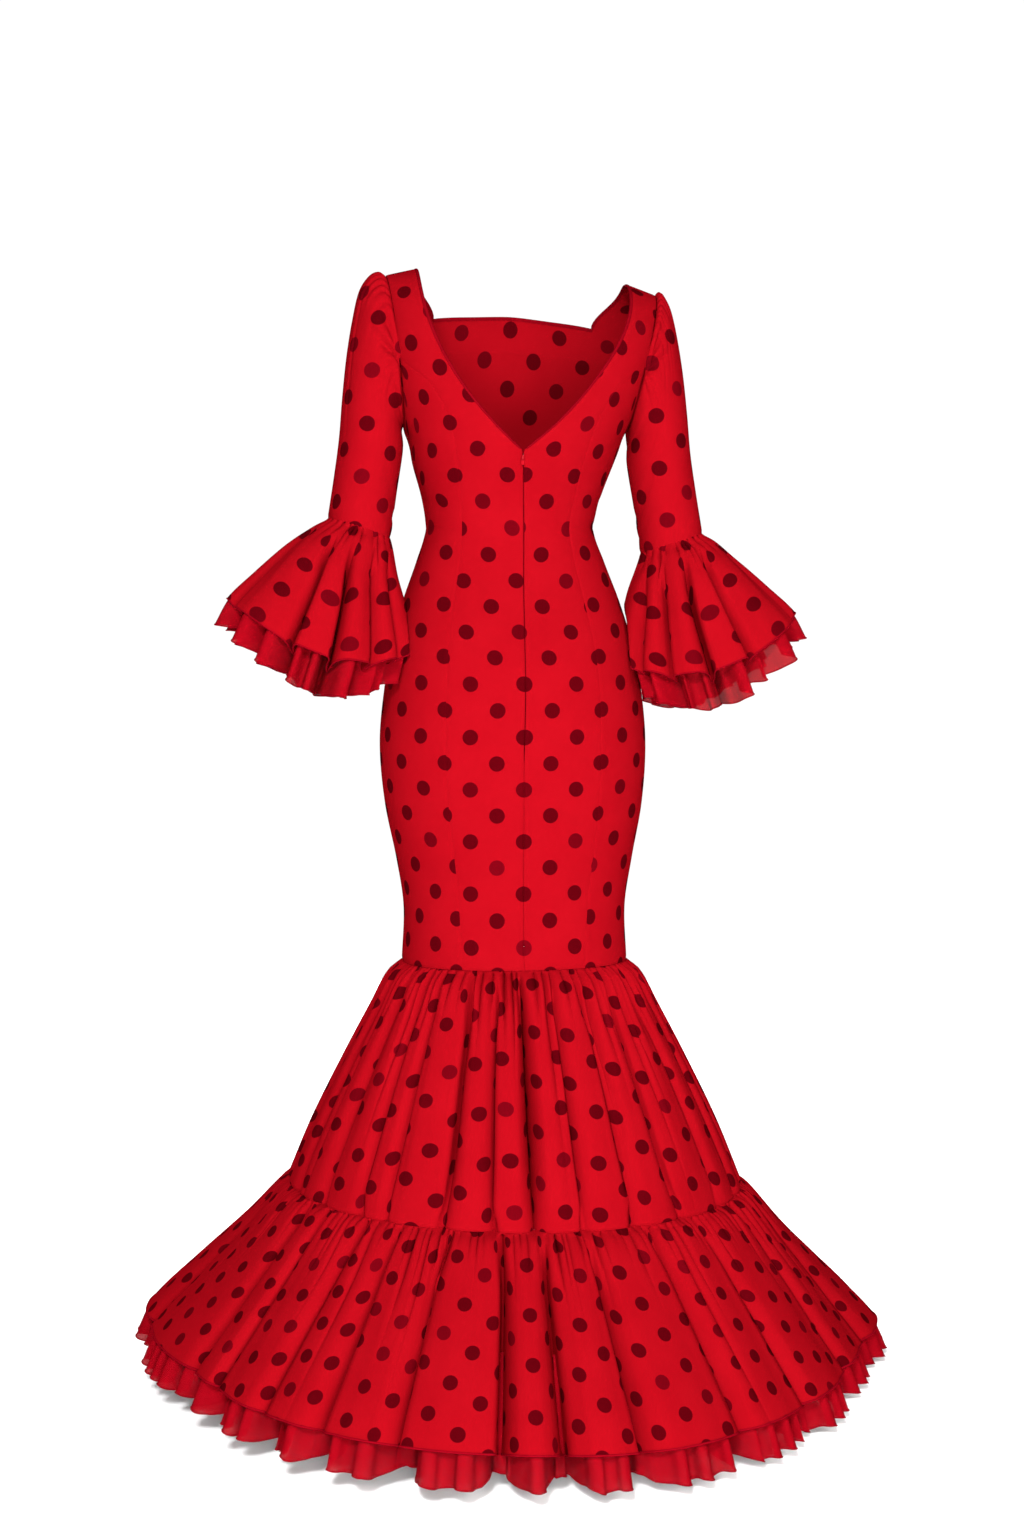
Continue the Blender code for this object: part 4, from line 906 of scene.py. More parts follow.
def add_panel(node_name, coat, grids):
    """A fitted panel, stretched over the wearer from its flat (width, length)."""
    piece = add_sheet(node_name + "_cloth", grids, CLOTH)
    dressed(piece, coat, [node_name])


def add_body(coat):
    """All the panels of the body; gives the front's rims to bind."""
    for side, word in SIDES:
        points, sign, z = back_centre(side)
        grid = for_grid(points, centre_flat(points, z, side), sign)
        add_panel(f"back_centre_{word}", coat, [grid])
        for back, place in ((True, "back"), (False, "front")):
            points, sign, z = side_panel(side, back)
            grid = for_grid(points, side_flat(points, z, back, side), sign)
            add_panel(f"{place}_side_{word}", coat, [grid])
    grids, rims = front_centre()
    add_panel("front_centre", coat, grids)
    return rims


# ---------------- folds round a gathered edge

TIER_STEP = 1.0  # coarser columns while trying things
LEAST_STEP = math.radians(0.20)
TAIL = 2.2  # how far the under side of a lapped fold runs before it reaches its crest, in valley half widths
OPEN_REACH = 1.6  # how far the sides of an open valley run, in the same measure
UNDER_FROM, UNDER_TO = -0.52, 0.38  # where the cloth turns under a lapped fold
LIP_AT, LIP = -0.35, 0.30  # the middle and half width of the part laid over the valley
FULL_LAP = 0.7  # from this lap up a fold is all laid over
LONG_BY = 2.6  # how much further the longest gathers run
STITCHED, FREE_BY = 0.12, 0.006  # share of a gather's depth at the stitches, and where it has all of it
RIDGE = 0.4  # share of the rounded ridge in a gather's form, beside the narrow valley

Columns = namedtuple("Columns", "angle phase near reach lap depth width")
Gathers = namedtuple("Gathers", "total place depth length")


def all_folds(folds, start):
    """The given folds, then the front's in slowly varied widths; with the edges between them in radians."""
    left = 360.0 - sum(fold.degrees for fold in folds)
    made = list(folds)
    if left > 1:
        mean = (360.0 - left) / len(folds)
        varied = [1 + FRONT_VARIATION * math.sin(2.4 * i) for i in range(round(left / mean))]
        rest = [
            (left * width / sum(varied), 0.8 * math.cos(1.9 * i + 0.4), 0.9 + 0.2 * math.sin(3.1 * i))
            for i, width in enumerate(varied)
        ]
        made += table(FOLD, *rest)
    return made, np.radians(start + running([fold.degrees for fold in made]))


def fold_columns(folds, start, gathers, zone, zone_count, step):
    """Columns round a gathered edge: each one's angle, phase in its fold and place in the nearest valley.

    zone is half a valley's width and step the spacing of columns on the crests, both in degrees. The small
    gathers get columns of their own.
    """
    zone, step = math.radians(zone), math.radians(step) * TIER_STEP
    made, edges = all_folds(folds, start)
    count, widths = len(made), np.diff(edges)
    valley = np.minimum(zone, 0.36 * np.minimum(widths, np.roll(widths, 1)))
    places = []
    for i in range(count):
        first, last = valley[i], valley[(i + 1) % count]
        crest = max(round((widths[i] - first - last) / step), 3)
        places += [
            edges[i] + first * np.arange(zone_count) / zone_count,
            np.linspace(edges[i] + first, edges[i + 1] - last, crest + 1)[:-1],
            edges[i + 1] - last + last * np.arange(zone_count) / zone_count,
        ]
    places = np.concatenate(places)
    pinched = edges[0] + (pinch_angles(gathers) - edges[0]) % ROUND
    apart = np.abs(places[:, None] - pinched).min(axis=1)
    angle = np.sort(np.concatenate([places[apart > LEAST_STEP], pinched]))
    fold = step_of(edges, angle)
    middle = (edges[fold] + edges[fold + 1]) / 2
    late = (angle > middle).astype(int)
    edge, at_valley = edges[fold + late], (fold + late) % count
    owner = (at_valley - 1) % count
    laps, depths = (np.array([getattr(each, name) for each in made])[owner] for name in ("lap", "depth"))
    width = valley[at_valley]
    phase = 2 * (angle - edges[fold]) / widths[fold] - 1
    return Columns(angle, phase, (angle - edge) / width, np.abs(middle - edge) / width, laps, depths, width)


def rounded(share):
    """1 in a valley's bottom, curving out to 0 on the crest, ever less steeply."""
    return 1 - np.sqrt(np.clip(1 - np.clip(1 - share, 0, 1) ** 2, 0, 1))


def fold_form(columns):
    """(inward share, sideways shift) of each column: an open valley, or one side laid over the other."""
    t = columns.near
    tail = np.minimum(TAIL, columns.reach)
    open_valley = rounded(np.abs(t) / np.minimum(OPEN_REACH, columns.reach))
    side = np.where(columns.lap >= 0, t, -t)
    turning = smooth((side - UNDER_FROM) / (UNDER_TO - UNDER_FROM))
    under = np.where(side < UNDER_TO, turning, rounded((side - UNDER_TO) / (tail - UNDER_TO)))
    inward = mix(open_valley, under, smooth(np.abs(columns.lap) / FULL_LAP)) * columns.depth
    sideways = 0.95 * bell((side - LIP_AT) / LIP) * columns.lap * columns.width
    broad = np.abs(np.sin(columns.phase * np.pi / 2)) ** 4
    return 0.90 * inward + 0.10 * broad, sideways


def tier_ring(rows, angle, along, reach):
    """A tier's rings without their folds, for a column of alongs and rows of angles."""
    power = 2 / read(rows, "roundness", along)
    cos, sin = np.cos(angle), np.sin(angle)
    depth = np.where(sin > 0, read(rows, "back", along), read(rows, "front", along))
    x = np.sign(cos) * np.abs(cos) ** power * read(rows, "half_width", along) * reach
    y = np.sign(sin) * np.abs(sin) ** power * depth * reach
    return points_of(x, y, read(rows, "z", along))


def plain_lower(angle, along):
    """The lower tier's rings without their folds, standing out by the hem's reach."""
    degrees = (np.degrees(angle) + 120.0) % 360.0 - 120.0
    reach = mix(1.0, read(HEM_REACH, "share", degrees), smooth(along))
    return tier_ring(LOWER_TIER, angle, along, reach)


def swayed(points):
    """Swings the skirt to the wearer's side and tilts it, more towards its hem."""
    x, y, z = axes_of(points)
    share = smooth((KNEE_Z - z) / SWAY_DROP)
    return points_of(x + HEM_SWAY * share, y, z + HEM_TILT * share * x)


def inwards(points, distance):
    """Moves points of rings towards the middle of the ring."""
    flat = points.copy()
    flat[..., 2] = 0
    way = flat / np.linalg.norm(flat, axis=-1, keepdims=True)
    return points - way * distance[..., None]


def puckers(total, mean_gap, depth, length, seed, long_share=0.0):
    """The small gathers along a seam of a given length, unevenly spaced, deep and long."""
    random = np.random.default_rng(seed)
    gaps = mean_gap * random.uniform(0.55, 1.5, int(total / mean_gap) + 8)
    places = np.cumsum(gaps)
    places = places[places < total - mean_gap / 2]
    count = len(places)
    depths = depth * random.uniform(0.45, 1.25, count)
    reach = length * random.uniform(0.35, 1.7, count) ** 1.3
    return Gathers(total, places, depths, reach * np.where(random.random(count) < long_share, LONG_BY, 1.0))


def pinch_angles(made):
    """Angles that need columns for the gathers' narrow valleys and rounded ridges."""
    gaps = np.diff(np.append(made.place, made.place[0] + made.total))
    before = np.roll(gaps, 1)
    places = [made.place]
    for share in (0.08, 0.25):
        places += [made.place + share * gaps, made.place - share * before]
    return np.concatenate(places) / made.total * ROUND


def pressed_at(made, columns, down):
    """How deep the gathers press in at a gathered edge's columns, for rows at distances down from it."""
    return gather_depth(made, columns.angle % ROUND / ROUND * made.total, down)


def gather_depth(made, across, down):
    """How deep the gathers press the cloth in: rounded ridges with a narrow valley between each two."""
    place = np.append(made.place, made.place[0] + made.total)
    at = (across - place[0]) % made.total + place[0]
    left = step_of(place, at)
    half = (place[left + 1] - place[left]) / 2
    near_left = at - place[left] < half
    share = np.where(near_left, at - place[left], place[left + 1] - at) / half
    owner = np.where(near_left, left, (left + 1) % len(made.place))
    start = mix(STITCHED, 1.0, smooth(down / FREE_BY))
    deep = made.depth[owner] * start * np.exp(-((down / made.length[owner]) ** 1.6))
    return deep * (RIDGE * rounded(share) + (1 - RIDGE) * (1 - share) ** 1.5)


# ---------------- flat widths of flared cloth

# The inner and outer arcs and depth of a width cut as part of a ring, how far its dots are moved up it,
# and how much closer they are printed.
Cut = namedtuple("Cut", "inner outer depth up spread", defaults=(0.0, 1.0))
UPPER_CUT = Cut(0.95, 1.40, UPPER_DROP, 0.010, 1.07)
LOWER_CUT = Cut(1.70, 2.65, LOWER_DROP, 0.015, 1.15)
ORGANZA_CUT = Cut(2.2, 2.75, 0.130)
SLEEVE_CUT = Cut(0.45, 0.87, 0.168, 0.0, 1.14)
SLEEVE_ORGANZA_CUT = Cut(0.80, 1.00, 0.130)


def flared(points, cut):
    """A width of flared cloth, with its places on the flat cut, centred on its own middle."""
    down = lengths(points, 0).mean(axis=1)
    across = lengths(points, 1)
    middle_rows = across[round(0.35 * len(points)) : round(0.85 * len(points)) + 1]
    share = (middle_rows / middle_rows[:, -1:]).mean(axis=0) - 0.5
    radius = cut.depth * cut.inner / (cut.outer - cut.inner)
    out = radius + down[:, None] * cut.depth / down[-1]
    turn = share * (cut.inner / radius)
    flat = cut.spread * points_of(out * np.sin(turn), -(out * np.cos(turn)) + radius - cut.up)
    return for_grid(points, flat, outwards(points))


def halves(points, angle, cut):
    """Splits a ring of cloth at its two side seams into a back and a front width."""
    total = angle % ROUND
    order = np.argsort(total)
    ring, at_front = points[:, order], total[order] > np.pi
    back, front = ring[:, ~at_front], ring[:, at_front]
    back = np.concatenate([back, front[:, :1]], axis=1)
    front = np.concatenate([front, back[:, :1]], axis=1)
    return [flared(width, cut) for width in (back, front)]


def opened(points, cut):
    """A closed ring of cloth as one flared width, opened at its first column."""
    return [flared(np.concatenate([points, points[:, :1]], axis=1), cut)]


# ---------------- skirt tiers

POLAR_PLACES = 2880


def alongs(*parts):
    """Places along a piece, one for each row of its grid: 0 at its seam and 1 at its lower seam or hem."""
    return np.concatenate(parts)[:, None]


UPPER_ROWS = alongs(
    (0, 0.003, 0.008, 0.017, 0.03, 0.05, 0.075), np.linspace(0.10, 0.97, 32), (0.985, 0.994, 1.0)
)
LOWER_ROWS = alongs((0, 0.004, 0.010, 0.02, 0.035, 0.055, 0.08, 0.11), np.linspace(0.14, 1.0, 25))
ORGANZA_ROWS = alongs(np.linspace(0.60, 0.9, 7)[:-1], np.linspace(0.9, 1.17, 16))
FLOUNCE_ROWS = alongs(np.linspace(0, 0.18, 11), np.linspace(0.18, 1.0, 36)[1:])
SLEEVE_ORGANZA_ROWS = alongs(np.linspace(0.5, 0.95, 9)[:-1], np.linspace(0.95, 1.27, 15))

UPPER_GATHERS = puckers(0.86, mean_gap=0.0102, depth=0.0165, length=0.046, seed=3, long_share=0.25)
LOWER_GATHERS = puckers(1.86, mean_gap=0.0100, depth=0.0155, length=0.028, seed=5, long_share=0.15)
CUFF_GATHERS = puckers(0.24, mean_gap=0.0088, depth=0.0085, length=0.016, seed=31)

UPPER_COLUMNS = fold_columns(UPPER_FOLDS, UPPER_START, UPPER_GATHERS, zone=3.0, zone_count=6, step=0.85)
LOWER_COLUMNS = fold_columns(LOWER_FOLDS, LOWER_START, LOWER_GATHERS, zone=2.4, zone_count=7, step=1.5)
SLEEVE_COLUMNS = fold_columns(SLEEVE_FOLDS, SLEEVE_START, CUFF_GATHERS, zone=9.0, zone_count=7, step=2.4)


def tucked(above, below):
    """How far rows of cloth roll in beside a gathered seam above or below them."""
    return TUCK * (bell(above / TUCK_SOFT) + bell(below / TUCK_SOFT))


def upper_tier():
    along = UPPER_ROWS
    inward, sideways = fold_form(UPPER_COLUMNS)
    grown = smooth(along / 0.30) * (1 - 0.80 * smooth((along - 0.90) / 0.10))
    ring = tier_ring(UPPER_TIER, UPPER_COLUMNS.angle + sideways * UPPER_LAP * grown, along, 1.0)
    ring = inwards(ring, inward * UPPER_FOLD_DEPTH * read(UPPER_TIER, "fold_depth", along))
    pressed = pressed_at(UPPER_GATHERS, UPPER_COLUMNS, along * UPPER_GATHERED) * (1 + UPPER_DEEPER * along)
    ring = inwards(ring, pressed + tucked(along * UPPER_DROP, (1 - along) * UPPER_DROP))
    return swayed(ring) - HELD_AT


def lower_ring(along):
    """The lower tier's folded rings, drawn straight and without its gathers."""
    inward, sideways = fold_form(LOWER_COLUMNS)
    grown = smooth(along / 0.30)
    ring = plain_lower(LOWER_COLUMNS.angle + sideways * grown, along)
    fold_depth = mix(*LOWER_FOLD_DEPTH, np.clip(along, 0, 1)) * read(LOWER_TIER, "fold_depth", along)
    pulled = inward * fold_depth * mix(0.4, 1.0, grown)
    ring = inwards(ring, pulled)
    ring[..., 2] -= LOWER_FALL * pulled * smooth(along)
    return ring


def lower_tier(seam_ring):
    along = LOWER_ROWS
    pressed = pressed_at(LOWER_GATHERS, LOWER_COLUMNS, along * LOWER_GATHERED) * (1 + LOWER_DEEPER * along)
    ring = inwards(lower_ring(along), pressed + tucked(along * LOWER_DROP, 1.0))
    ring = swayed(ring) - HELD_AT
    meet = 1 - smooth(along / 0.03)
    return fanned(ring + (follow_ring(seam_ring, ring[0]) - ring[0]) * meet[..., None])


def fanned(points):
    """Lets the skirt's lower edge stand out a little further at the wearer's left and right."""
    x, y, z = axes_of(points)
    side = np.clip(x / 0.5, -1, 1)
    out = smooth((FAN_FROM_Z - z) / FAN_LENGTH) * np.where(side > 0, *FAN_OUT) * side * np.abs(side)
    return points_of(x + out, y, z)


def polar(x, y):
    return np.arctan2(y, x), np.hypot(x, y)


def innermost(turns, radius, window):
    """The smallest radius at even angles round each row of a folded ring, taken over a window of angles."""
    inner = np.full((len(radius), POLAR_PLACES), np.inf)
    places = np.arange(turns.shape[1] + 1)
    fine = np.arange(0, turns.shape[1], 1 / 6)
    for row, (turned, reach) in enumerate(zip(turns, radius)):
        turned = np.interp(fine, places, np.unwrap(np.append(turned, turned[0])))
        place = np.floor(turned % ROUND / ROUND * POLAR_PLACES).astype(int) % POLAR_PLACES
        np.minimum.at(inner[row], place, np.interp(fine, places, np.append(reach, reach[0])))
    steps = range(1, round(window / ROUND * POLAR_PLACES) + 1)
    least = inner.copy()
    for step in steps:
        least = np.minimum(least, np.minimum(np.roll(inner, step, axis=1), np.roll(inner, -step, axis=1)))
    even = least.copy()
    for step in steps:
        even += np.roll(least, step, axis=1) + np.roll(least, -step, axis=1)
    return np.minimum(least, even / (2 * len(steps) + 1))


def at_angles(profile, angle):
    """Values of even polar profiles, one row each, at angles."""
    place = angle % (2 * np.pi) / (2 * np.pi) * POLAR_PLACES - 0.5
    low = np.floor(place).astype(int)
    row = np.arange(len(profile))[:, None]
    return mix(profile[row, low % POLAR_PLACES], profile[row, (low + 1) % POLAR_PLACES], place - low)


def follow_ring(ring, points):
    """Points of a ring of the piece above, at the same angles from the middle as the given ones."""
    turned, wanted = (np.arctan2(each[:, 1], each[:, 0] + HELD_AT[0]) for each in (ring, points))
    order = np.argsort(turned)
    return points_of(*(np.interp(wanted, turned[order], axis, period=ROUND) for axis in ring[order].T))


def flutes(count, mean, seed):
    """Even angles round a ring, with the organza's flutes there: running phase, width in radians and size.

    The phase makes one turn for each flute, and the flutes close on themselves.
    """
    angle = (np.arange(count) + 0.5) / count * ROUND
    random = np.random.default_rng(seed)
    number = round(ROUND / mean)
    widths = random.uniform(0.65, 1.4, number)
    edges = running(widths) * ROUND / widths.sum()
    sizes = random.uniform(0.6, 1.2, number)
    place = step_of(edges, angle)
    width = edges[place + 1] - edges[place]
    return angle, ROUND * ((angle - edges[place]) / width), width, sizes[place]


def hem_organza():
    """The organza under the lower tier: it follows the tier's folds from inside and flutes below its hem."""
    base, phase, width, size = flutes(1400, HEM_FLUTE_TURN, 11)
    along = ORGANZA_ROWS
    under = np.minimum(along, 1.0)
    tier = lower_ring(under)
    inner = innermost(*polar(tier[..., 0], tier[..., 1]), 0.012)
    free = smooth((along - 0.72) / 0.36)
    x, y, z = axes_of(plain_lower(base, along))
    way, reach = polar(x, y)
    way = way + HEM_SWING / ROUND * width * np.sin(2 * phase) * free * size
    covered = plain_lower(base, under)
    radius = at_angles(inner, way) * (reach / np.hypot(covered[..., 0], covered[..., 1]))
    radius = radius - ORGANZA_GAP - HEM_FLUTE * free * size * (1 - np.cos(phase))
    z = z + 0.0030 * free * np.cos(phase + 0.8) * size - 0.001
    return fanned(swayed(points_of(np.cos(way) * radius, np.sin(way) * radius, z)) - HELD_AT), base


def rolled_hem(name, edge, radius):
    """A narrow rolled hem along a closed edge."""
    line = bpy.data.curves.new(name, "CURVE")
    line.dimensions = "3D"
    spline = line.splines.new("POLY")
    spline.points.add(len(edge) - 1)
    spline.points.foreach_set("co", np.pad(edge, ((0, 0), (0, 1)), constant_values=1).ravel())
    spline.use_cyclic_u = True
    line.bevel_depth = radius
    line.bevel_resolution = 1
    roll = bpy.data.objects.new(name, line)
    bpy.context.scene.collection.objects.link(roll)
    pick(roll)
    bpy.ops.object.convert(target="MESH")
    bpy.ops.object.shade_smooth()
    return bpy.context.object


# ---------------- sleeves


def ring_points(ring, angle, side):
    """Points round a sleeve's ring, or rows of them where the ring's sizes are columns."""
    inner_x, inner_z, outer_x, outer_z, half_depth, middle_y, sag = ring
    share = (1 + np.cos(angle)) / 2
    return points_of(
        side * mix(inner_x, outer_x, share),
        middle_y + half_depth * np.sin(angle),
        mix(inner_z, outer_z, share) - sag * np.sin(angle) ** 2,
    )


def armhole_ring(angle, side):
    share = (np.cos(angle) + 1) / 2
    x = mix(UNDERARM_X, TIP_X, share) + SLEEVE_OFF
    return posed(points_of(side * x, ARMHOLE_DEPTH * np.sin(angle), mix(UNDERARM_Z, 0.0, share)))


def sleeve_flat(points, angle, side):
    """Places on the flat sleeve: along its own line, and round its oval from the back of the arm."""
    sin, cos = math.sin(SLEEVE_LINE), math.cos(SLEEVE_LINE)
    down, off = points @ np.array((side * sin, 0, -cos)), points @ np.array((side * cos, 0, sin))
    count = points.shape[1] - 1
    edge_out, edge_in = (np.interp(down, down[:, edge], off[:, edge]) for edge in (0, count // 2))
    middle, half = (edge_out + edge_in) / 2, (edge_out - edge_in) / 2
    back, front = points[:, count // 4, 1], points[:, 3 * count // 4, 1]
    depth, centre = ((back - front) / 2)[:, None], ((back + front) / 2)[:, None]
    turn = np.arctan2((points[..., 1] - centre) / depth, (off - middle) / half)
    turn = np.where(angle > 1.5 * np.pi, turn + ROUND * (turn < 0), turn)
    turn = np.where((angle > 0.5 * np.pi) & (turn < -0.25 * np.pi), turn + ROUND, turn)
    turns = np.linspace(-np.pi, 3 * np.pi, 400)
    oval = np.hypot(np.sin(turns), SLEEVE_OVAL * np.cos(turns))
    path = running((oval[1:] + oval[:-1]) / 2 * np.diff(turns))
    round_it = np.interp(turn, turns, path) - np.interp(np.pi / 2, turns, path)
    return points_of(round_it * half, -down)


def hung(points, side):
    return points + np.array((SLEEVE_LEAN, 0, side * SLEEVE_TILT))


def sleeve(side):
    """A sleeve from armhole to cuff, with its gathered cap and creases, and its grid's sign."""
    top = np.linspace(0, 2.0, 66)
    angle = np.concatenate([top, np.linspace(2.0, ROUND - 2.0, 28)[1:-1], ROUND - top[::-1]])
    coarse = [armhole_ring(angle, side)]
    for i, ring in enumerate(SLEEVE):
        seated = ring_points(ring, angle, side)
        lifted = posed(seated) - points_of(read(BODY, "shift", seated[:, 2]), 0, 0)
        coarse.append(mix(lifted, hung(seated, side), smooth((i + 1) / 3)))
    fine = np.concatenate([np.linspace(0, 2, 22)[:-1], np.linspace(2, len(coarse) - 1, 60)])
    points = through(np.arange(len(coarse), dtype=float), np.array(coarse), fine)
    sign = outwards(points)
    down = lengths(points, 0)
    turn = np.minimum(angle, ROUND - angle)
    gathers = puckers(0.50, mean_gap=0.0125, depth=0.0060, length=0.028, seed=21 + side, long_share=0.2)
    pressed = gather_depth(gathers, lengths(points, 1), down) * np.exp(-((turn / CAP_GATHERED) ** 4))
    for start, end, depth in CAP_CREASES:
        pressed = pressed + depth * cap_crease(turn, down, start, end)
    elbow = np.zeros_like(pressed)
    for crease in SLEEVE_CREASES:
        near = np.abs((angle - crease.turn + np.pi) % ROUND - np.pi)
        slant = down - crease.place - ELBOW_SLANT * np.cos(angle - crease.turn)
        elbow += crease.depth * bell(slant / ELBOW_WIDTH) * bell(near / crease.reach)
    points = points - facing(points) * sign * (pressed + elbow)[..., None]
    points[:, -1] = points[:, 0]
    points = seamed(points, (0, 0, 1, 1), sign)
    points[:, -1] = points[:, 0]
    return points - HELD_AT, sign


def cap_crease(turn, down, start, end):
    """A soft trough from the back of the armhole up over the sleeve's cap, with a low ridge beside it."""
    way = np.array(((end[0] - start[0]) * CAP_REACH, end[1] - start[1]))
    size = np.hypot(*way)
    across, along = (turn - start[0]) * CAP_REACH, down - start[1]
    run = (across * way[0] + along * way[1]) / size
    off = (across * way[1] - along * way[0]) / size
    wide = mix(*CAP_CREASE_WIDTH, np.clip(run / size, -0.1, 1))
    ridge = 0.55 * bell((off + 2.1 * wide) / (1.3 * wide))
    fading = smooth((run + 0.004) / 0.008) * (1 - smooth(run / size)) ** 0.6
    return (bell(off / wide) - ridge) * fading


def flounce_ring(along):
    return [read(SLEEVE_FLOUNCE, column, along) for column in RING.split()]


def clear_of_hip(points, clearance):
    """Moves points out of the hip, to a clearance from it."""
    x, y, z = axes_of(points)
    level = np.clip(z, KNEE_Z, UNDERARM_Z)
    shift = read(BODY, "shift", level)
    x = x - shift
    width = read(BODY, "half_width", level) + clearance
    depth = np.where(y > 0, read(BODY, "back", level), read(BODY, "front", level)) + clearance
    reach = (np.abs(x / width) ** ROUNDNESS + np.abs(y / depth) ** ROUNDNESS) ** (1 / ROUNDNESS)
    grow = np.maximum(1 / np.maximum(reach, 1e-6), 1)
    return points_of(shift + x * grow, y * grow, z)


def calm(points, side):
    """How much of a sleeve flounce's folds is left where the hip presses it flat, from 1 to 0."""
    free = hung(points, side)
    pushed = np.linalg.norm(clear_of_hip(free, HIP_CLEARANCE) - free, axis=-1)
    return 1 - smooth(pushed / FLATTENED_BY)


def middle_of(ring, side):
    return side * (ring[0] + ring[2]) / 2, ring[5]


def drafted_flounce(along, side):
    """A sleeve flounce's folded rings before the hip presses on them."""
    inward, sideways = fold_form(SLEEVE_COLUMNS)
    ring = flounce_ring(along)
    lap = SLEEVE_LAP * smooth((along - 0.1) / 0.5) * calm(ring_points(ring, SLEEVE_COLUMNS.angle, side), side)
    angle = SLEEVE_COLUMNS.angle + sideways * lap
    points = ring_points(ring, angle, side)
    grown = np.minimum(along / 0.5, 1.0)
    depth = SLEEVE_FOLD_DEPTH * smooth(grown) * grown * calm(points, side) * inward
    middle_x, middle_y = middle_of(ring, side)
    x, y, z = axes_of(points)
    x, y = x - middle_x, y - middle_y
    shrink = 1 - depth / np.hypot(x, y)
    way_x, way_y, rise = axes_of(ring_points(flounce_ring(0.0), angle, side) - points)
    fallen = np.clip(np.hypot(way_x, way_y) / np.maximum(rise, 0.01), 0, 1.1)
    return points_of(middle_x + x * shrink, middle_y + y * shrink, z - depth * fallen)


def flounce_set(points, along, side, clearance):
    """Hangs a drafted flounce from its sleeve, clear of the hip."""
    swing = FLOUNCE_SWING * smooth(along / 0.4)
    return clear_of_hip(hung(points + points_of(swing, 0, 0), side), clearance)


def sleeve_flounce(side):
    along = FLOUNCE_ROWS
    pressed = pressed_at(CUFF_GATHERS, SLEEVE_COLUMNS, along * CUFF_GATHERED)
    points = flounce_set(drafted_flounce(along, side), along, side, HIP_CLEARANCE)
    points = points - facing(points, True) * outwards(points, True) * pressed[..., None]
    inwards_by, up_by = CUFF_TUCK
    points[0] += (points[0].mean(axis=0) - points[0]) * inwards_by + np.array((0, 0, up_by))
    return points - HELD_AT


def sleeve_organza(side):
    """The organza inside a sleeve flounce: it follows the folds from inside and flutes below the hem."""
    base, phase, width, size = flutes(560, SLEEVE_FLUTE_TURN, 41 + side)
    along = SLEEVE_ORGANZA_ROWS
    under = np.minimum(along, 1.0)
    free = smooth((along - 0.6) / 0.45)

    def measured(ring, points):
        """Angles and distances of points from the middle of a ring, as on the left sleeve."""
        middle_x, middle_y = middle_of(ring, side)
        return polar((points[..., 0] - middle_x) * side, points[..., 1] - middle_y)

    ring, covered = flounce_ring(along), flounce_ring(under)
    inner = innermost(*measured(covered, drafted_flounce(under, side)), 0.05)
    plain = ring_points(ring, base, side)
    waving = free * size * calm(plain, side)
    way, reach = measured(ring, plain)
    way = way + SLEEVE_SWING / ROUND * width * np.sin(2 * phase) * waving
    radius = at_angles(inner, way) * reach / measured(covered, ring_points(covered, base, side))[1]
    radius = radius - ORGANZA_GAP - SLEEVE_FLUTE * waving * (1 - np.cos(phase))
    middle_x, middle_y = middle_of(ring, side)
    z = plain[..., 2] + 0.002 * free * np.cos(phase + 0.8) * size
    points = points_of(middle_x + side * np.cos(way) * radius, middle_y + np.sin(way) * radius, z)
    return flounce_set(points, along, side, ORGANZA_CLEARANCE) - HELD_AT


# ---------------- neckline binding and zip


def add_binding(rims, coat):
    """The narrow strip folded over the neckline, from the foot of the V round the front and back to it."""
    runs = []
    for side in (1, -1):
        points, sign, z = back_centre(side)
        strap, across = rims[side]
        run = rim(points[z >= BACK_V_Z], sign), Rim(*(part[-2:0:-1] for part in strap))
        run += (Rim(*(part[::-1] for part in across)),)
        joined = Rim(*(np.concatenate(parts) for parts in zip(*run)))
        runs.append(joined if side > 0 else Rim(*(part[-2::-1] for part in joined)))
    edge, into, out = (np.concatenate(parts) for parts in zip(*runs))
    into, out = (even(ways)[:, None] for ways in (into, out))
    grid = edge[:, None] + into * BINDING_SECTION[:, :1] + out * BINDING_SECTION[:, 1:]
    flat = laid_out(grid)
    sign = (facing(grid)[:, 2] * out[:, 0]).sum()
    piece = add_sheet("neck_binding_cloth", [for_grid(grid, flat, sign)], BINDING)
    dressed(piece, coat, ["neck_binding"])


def even(ways):
    """Directions along an edge, each averaged with its neighbours."""
    soft = ways.copy()
    soft[1:-1] = ways[:-2] + 2 * ways[1:-1] + ways[2:]
    return soft / np.linalg.norm(soft, axis=1, keepdims=True)


def inside_of(points, sign, distances, depth):
    """Points behind a panel's centre edge: at distances across from it, and a depth behind its face."""
    behind = points - facing(points) * sign * depth
    rows = zip(lengths(points, 1), behind)
    made = [[np.interp(distances, across, axis) for axis in row.T] for across, row in rows]
    return np.array(made).swapaxes(1, 2)


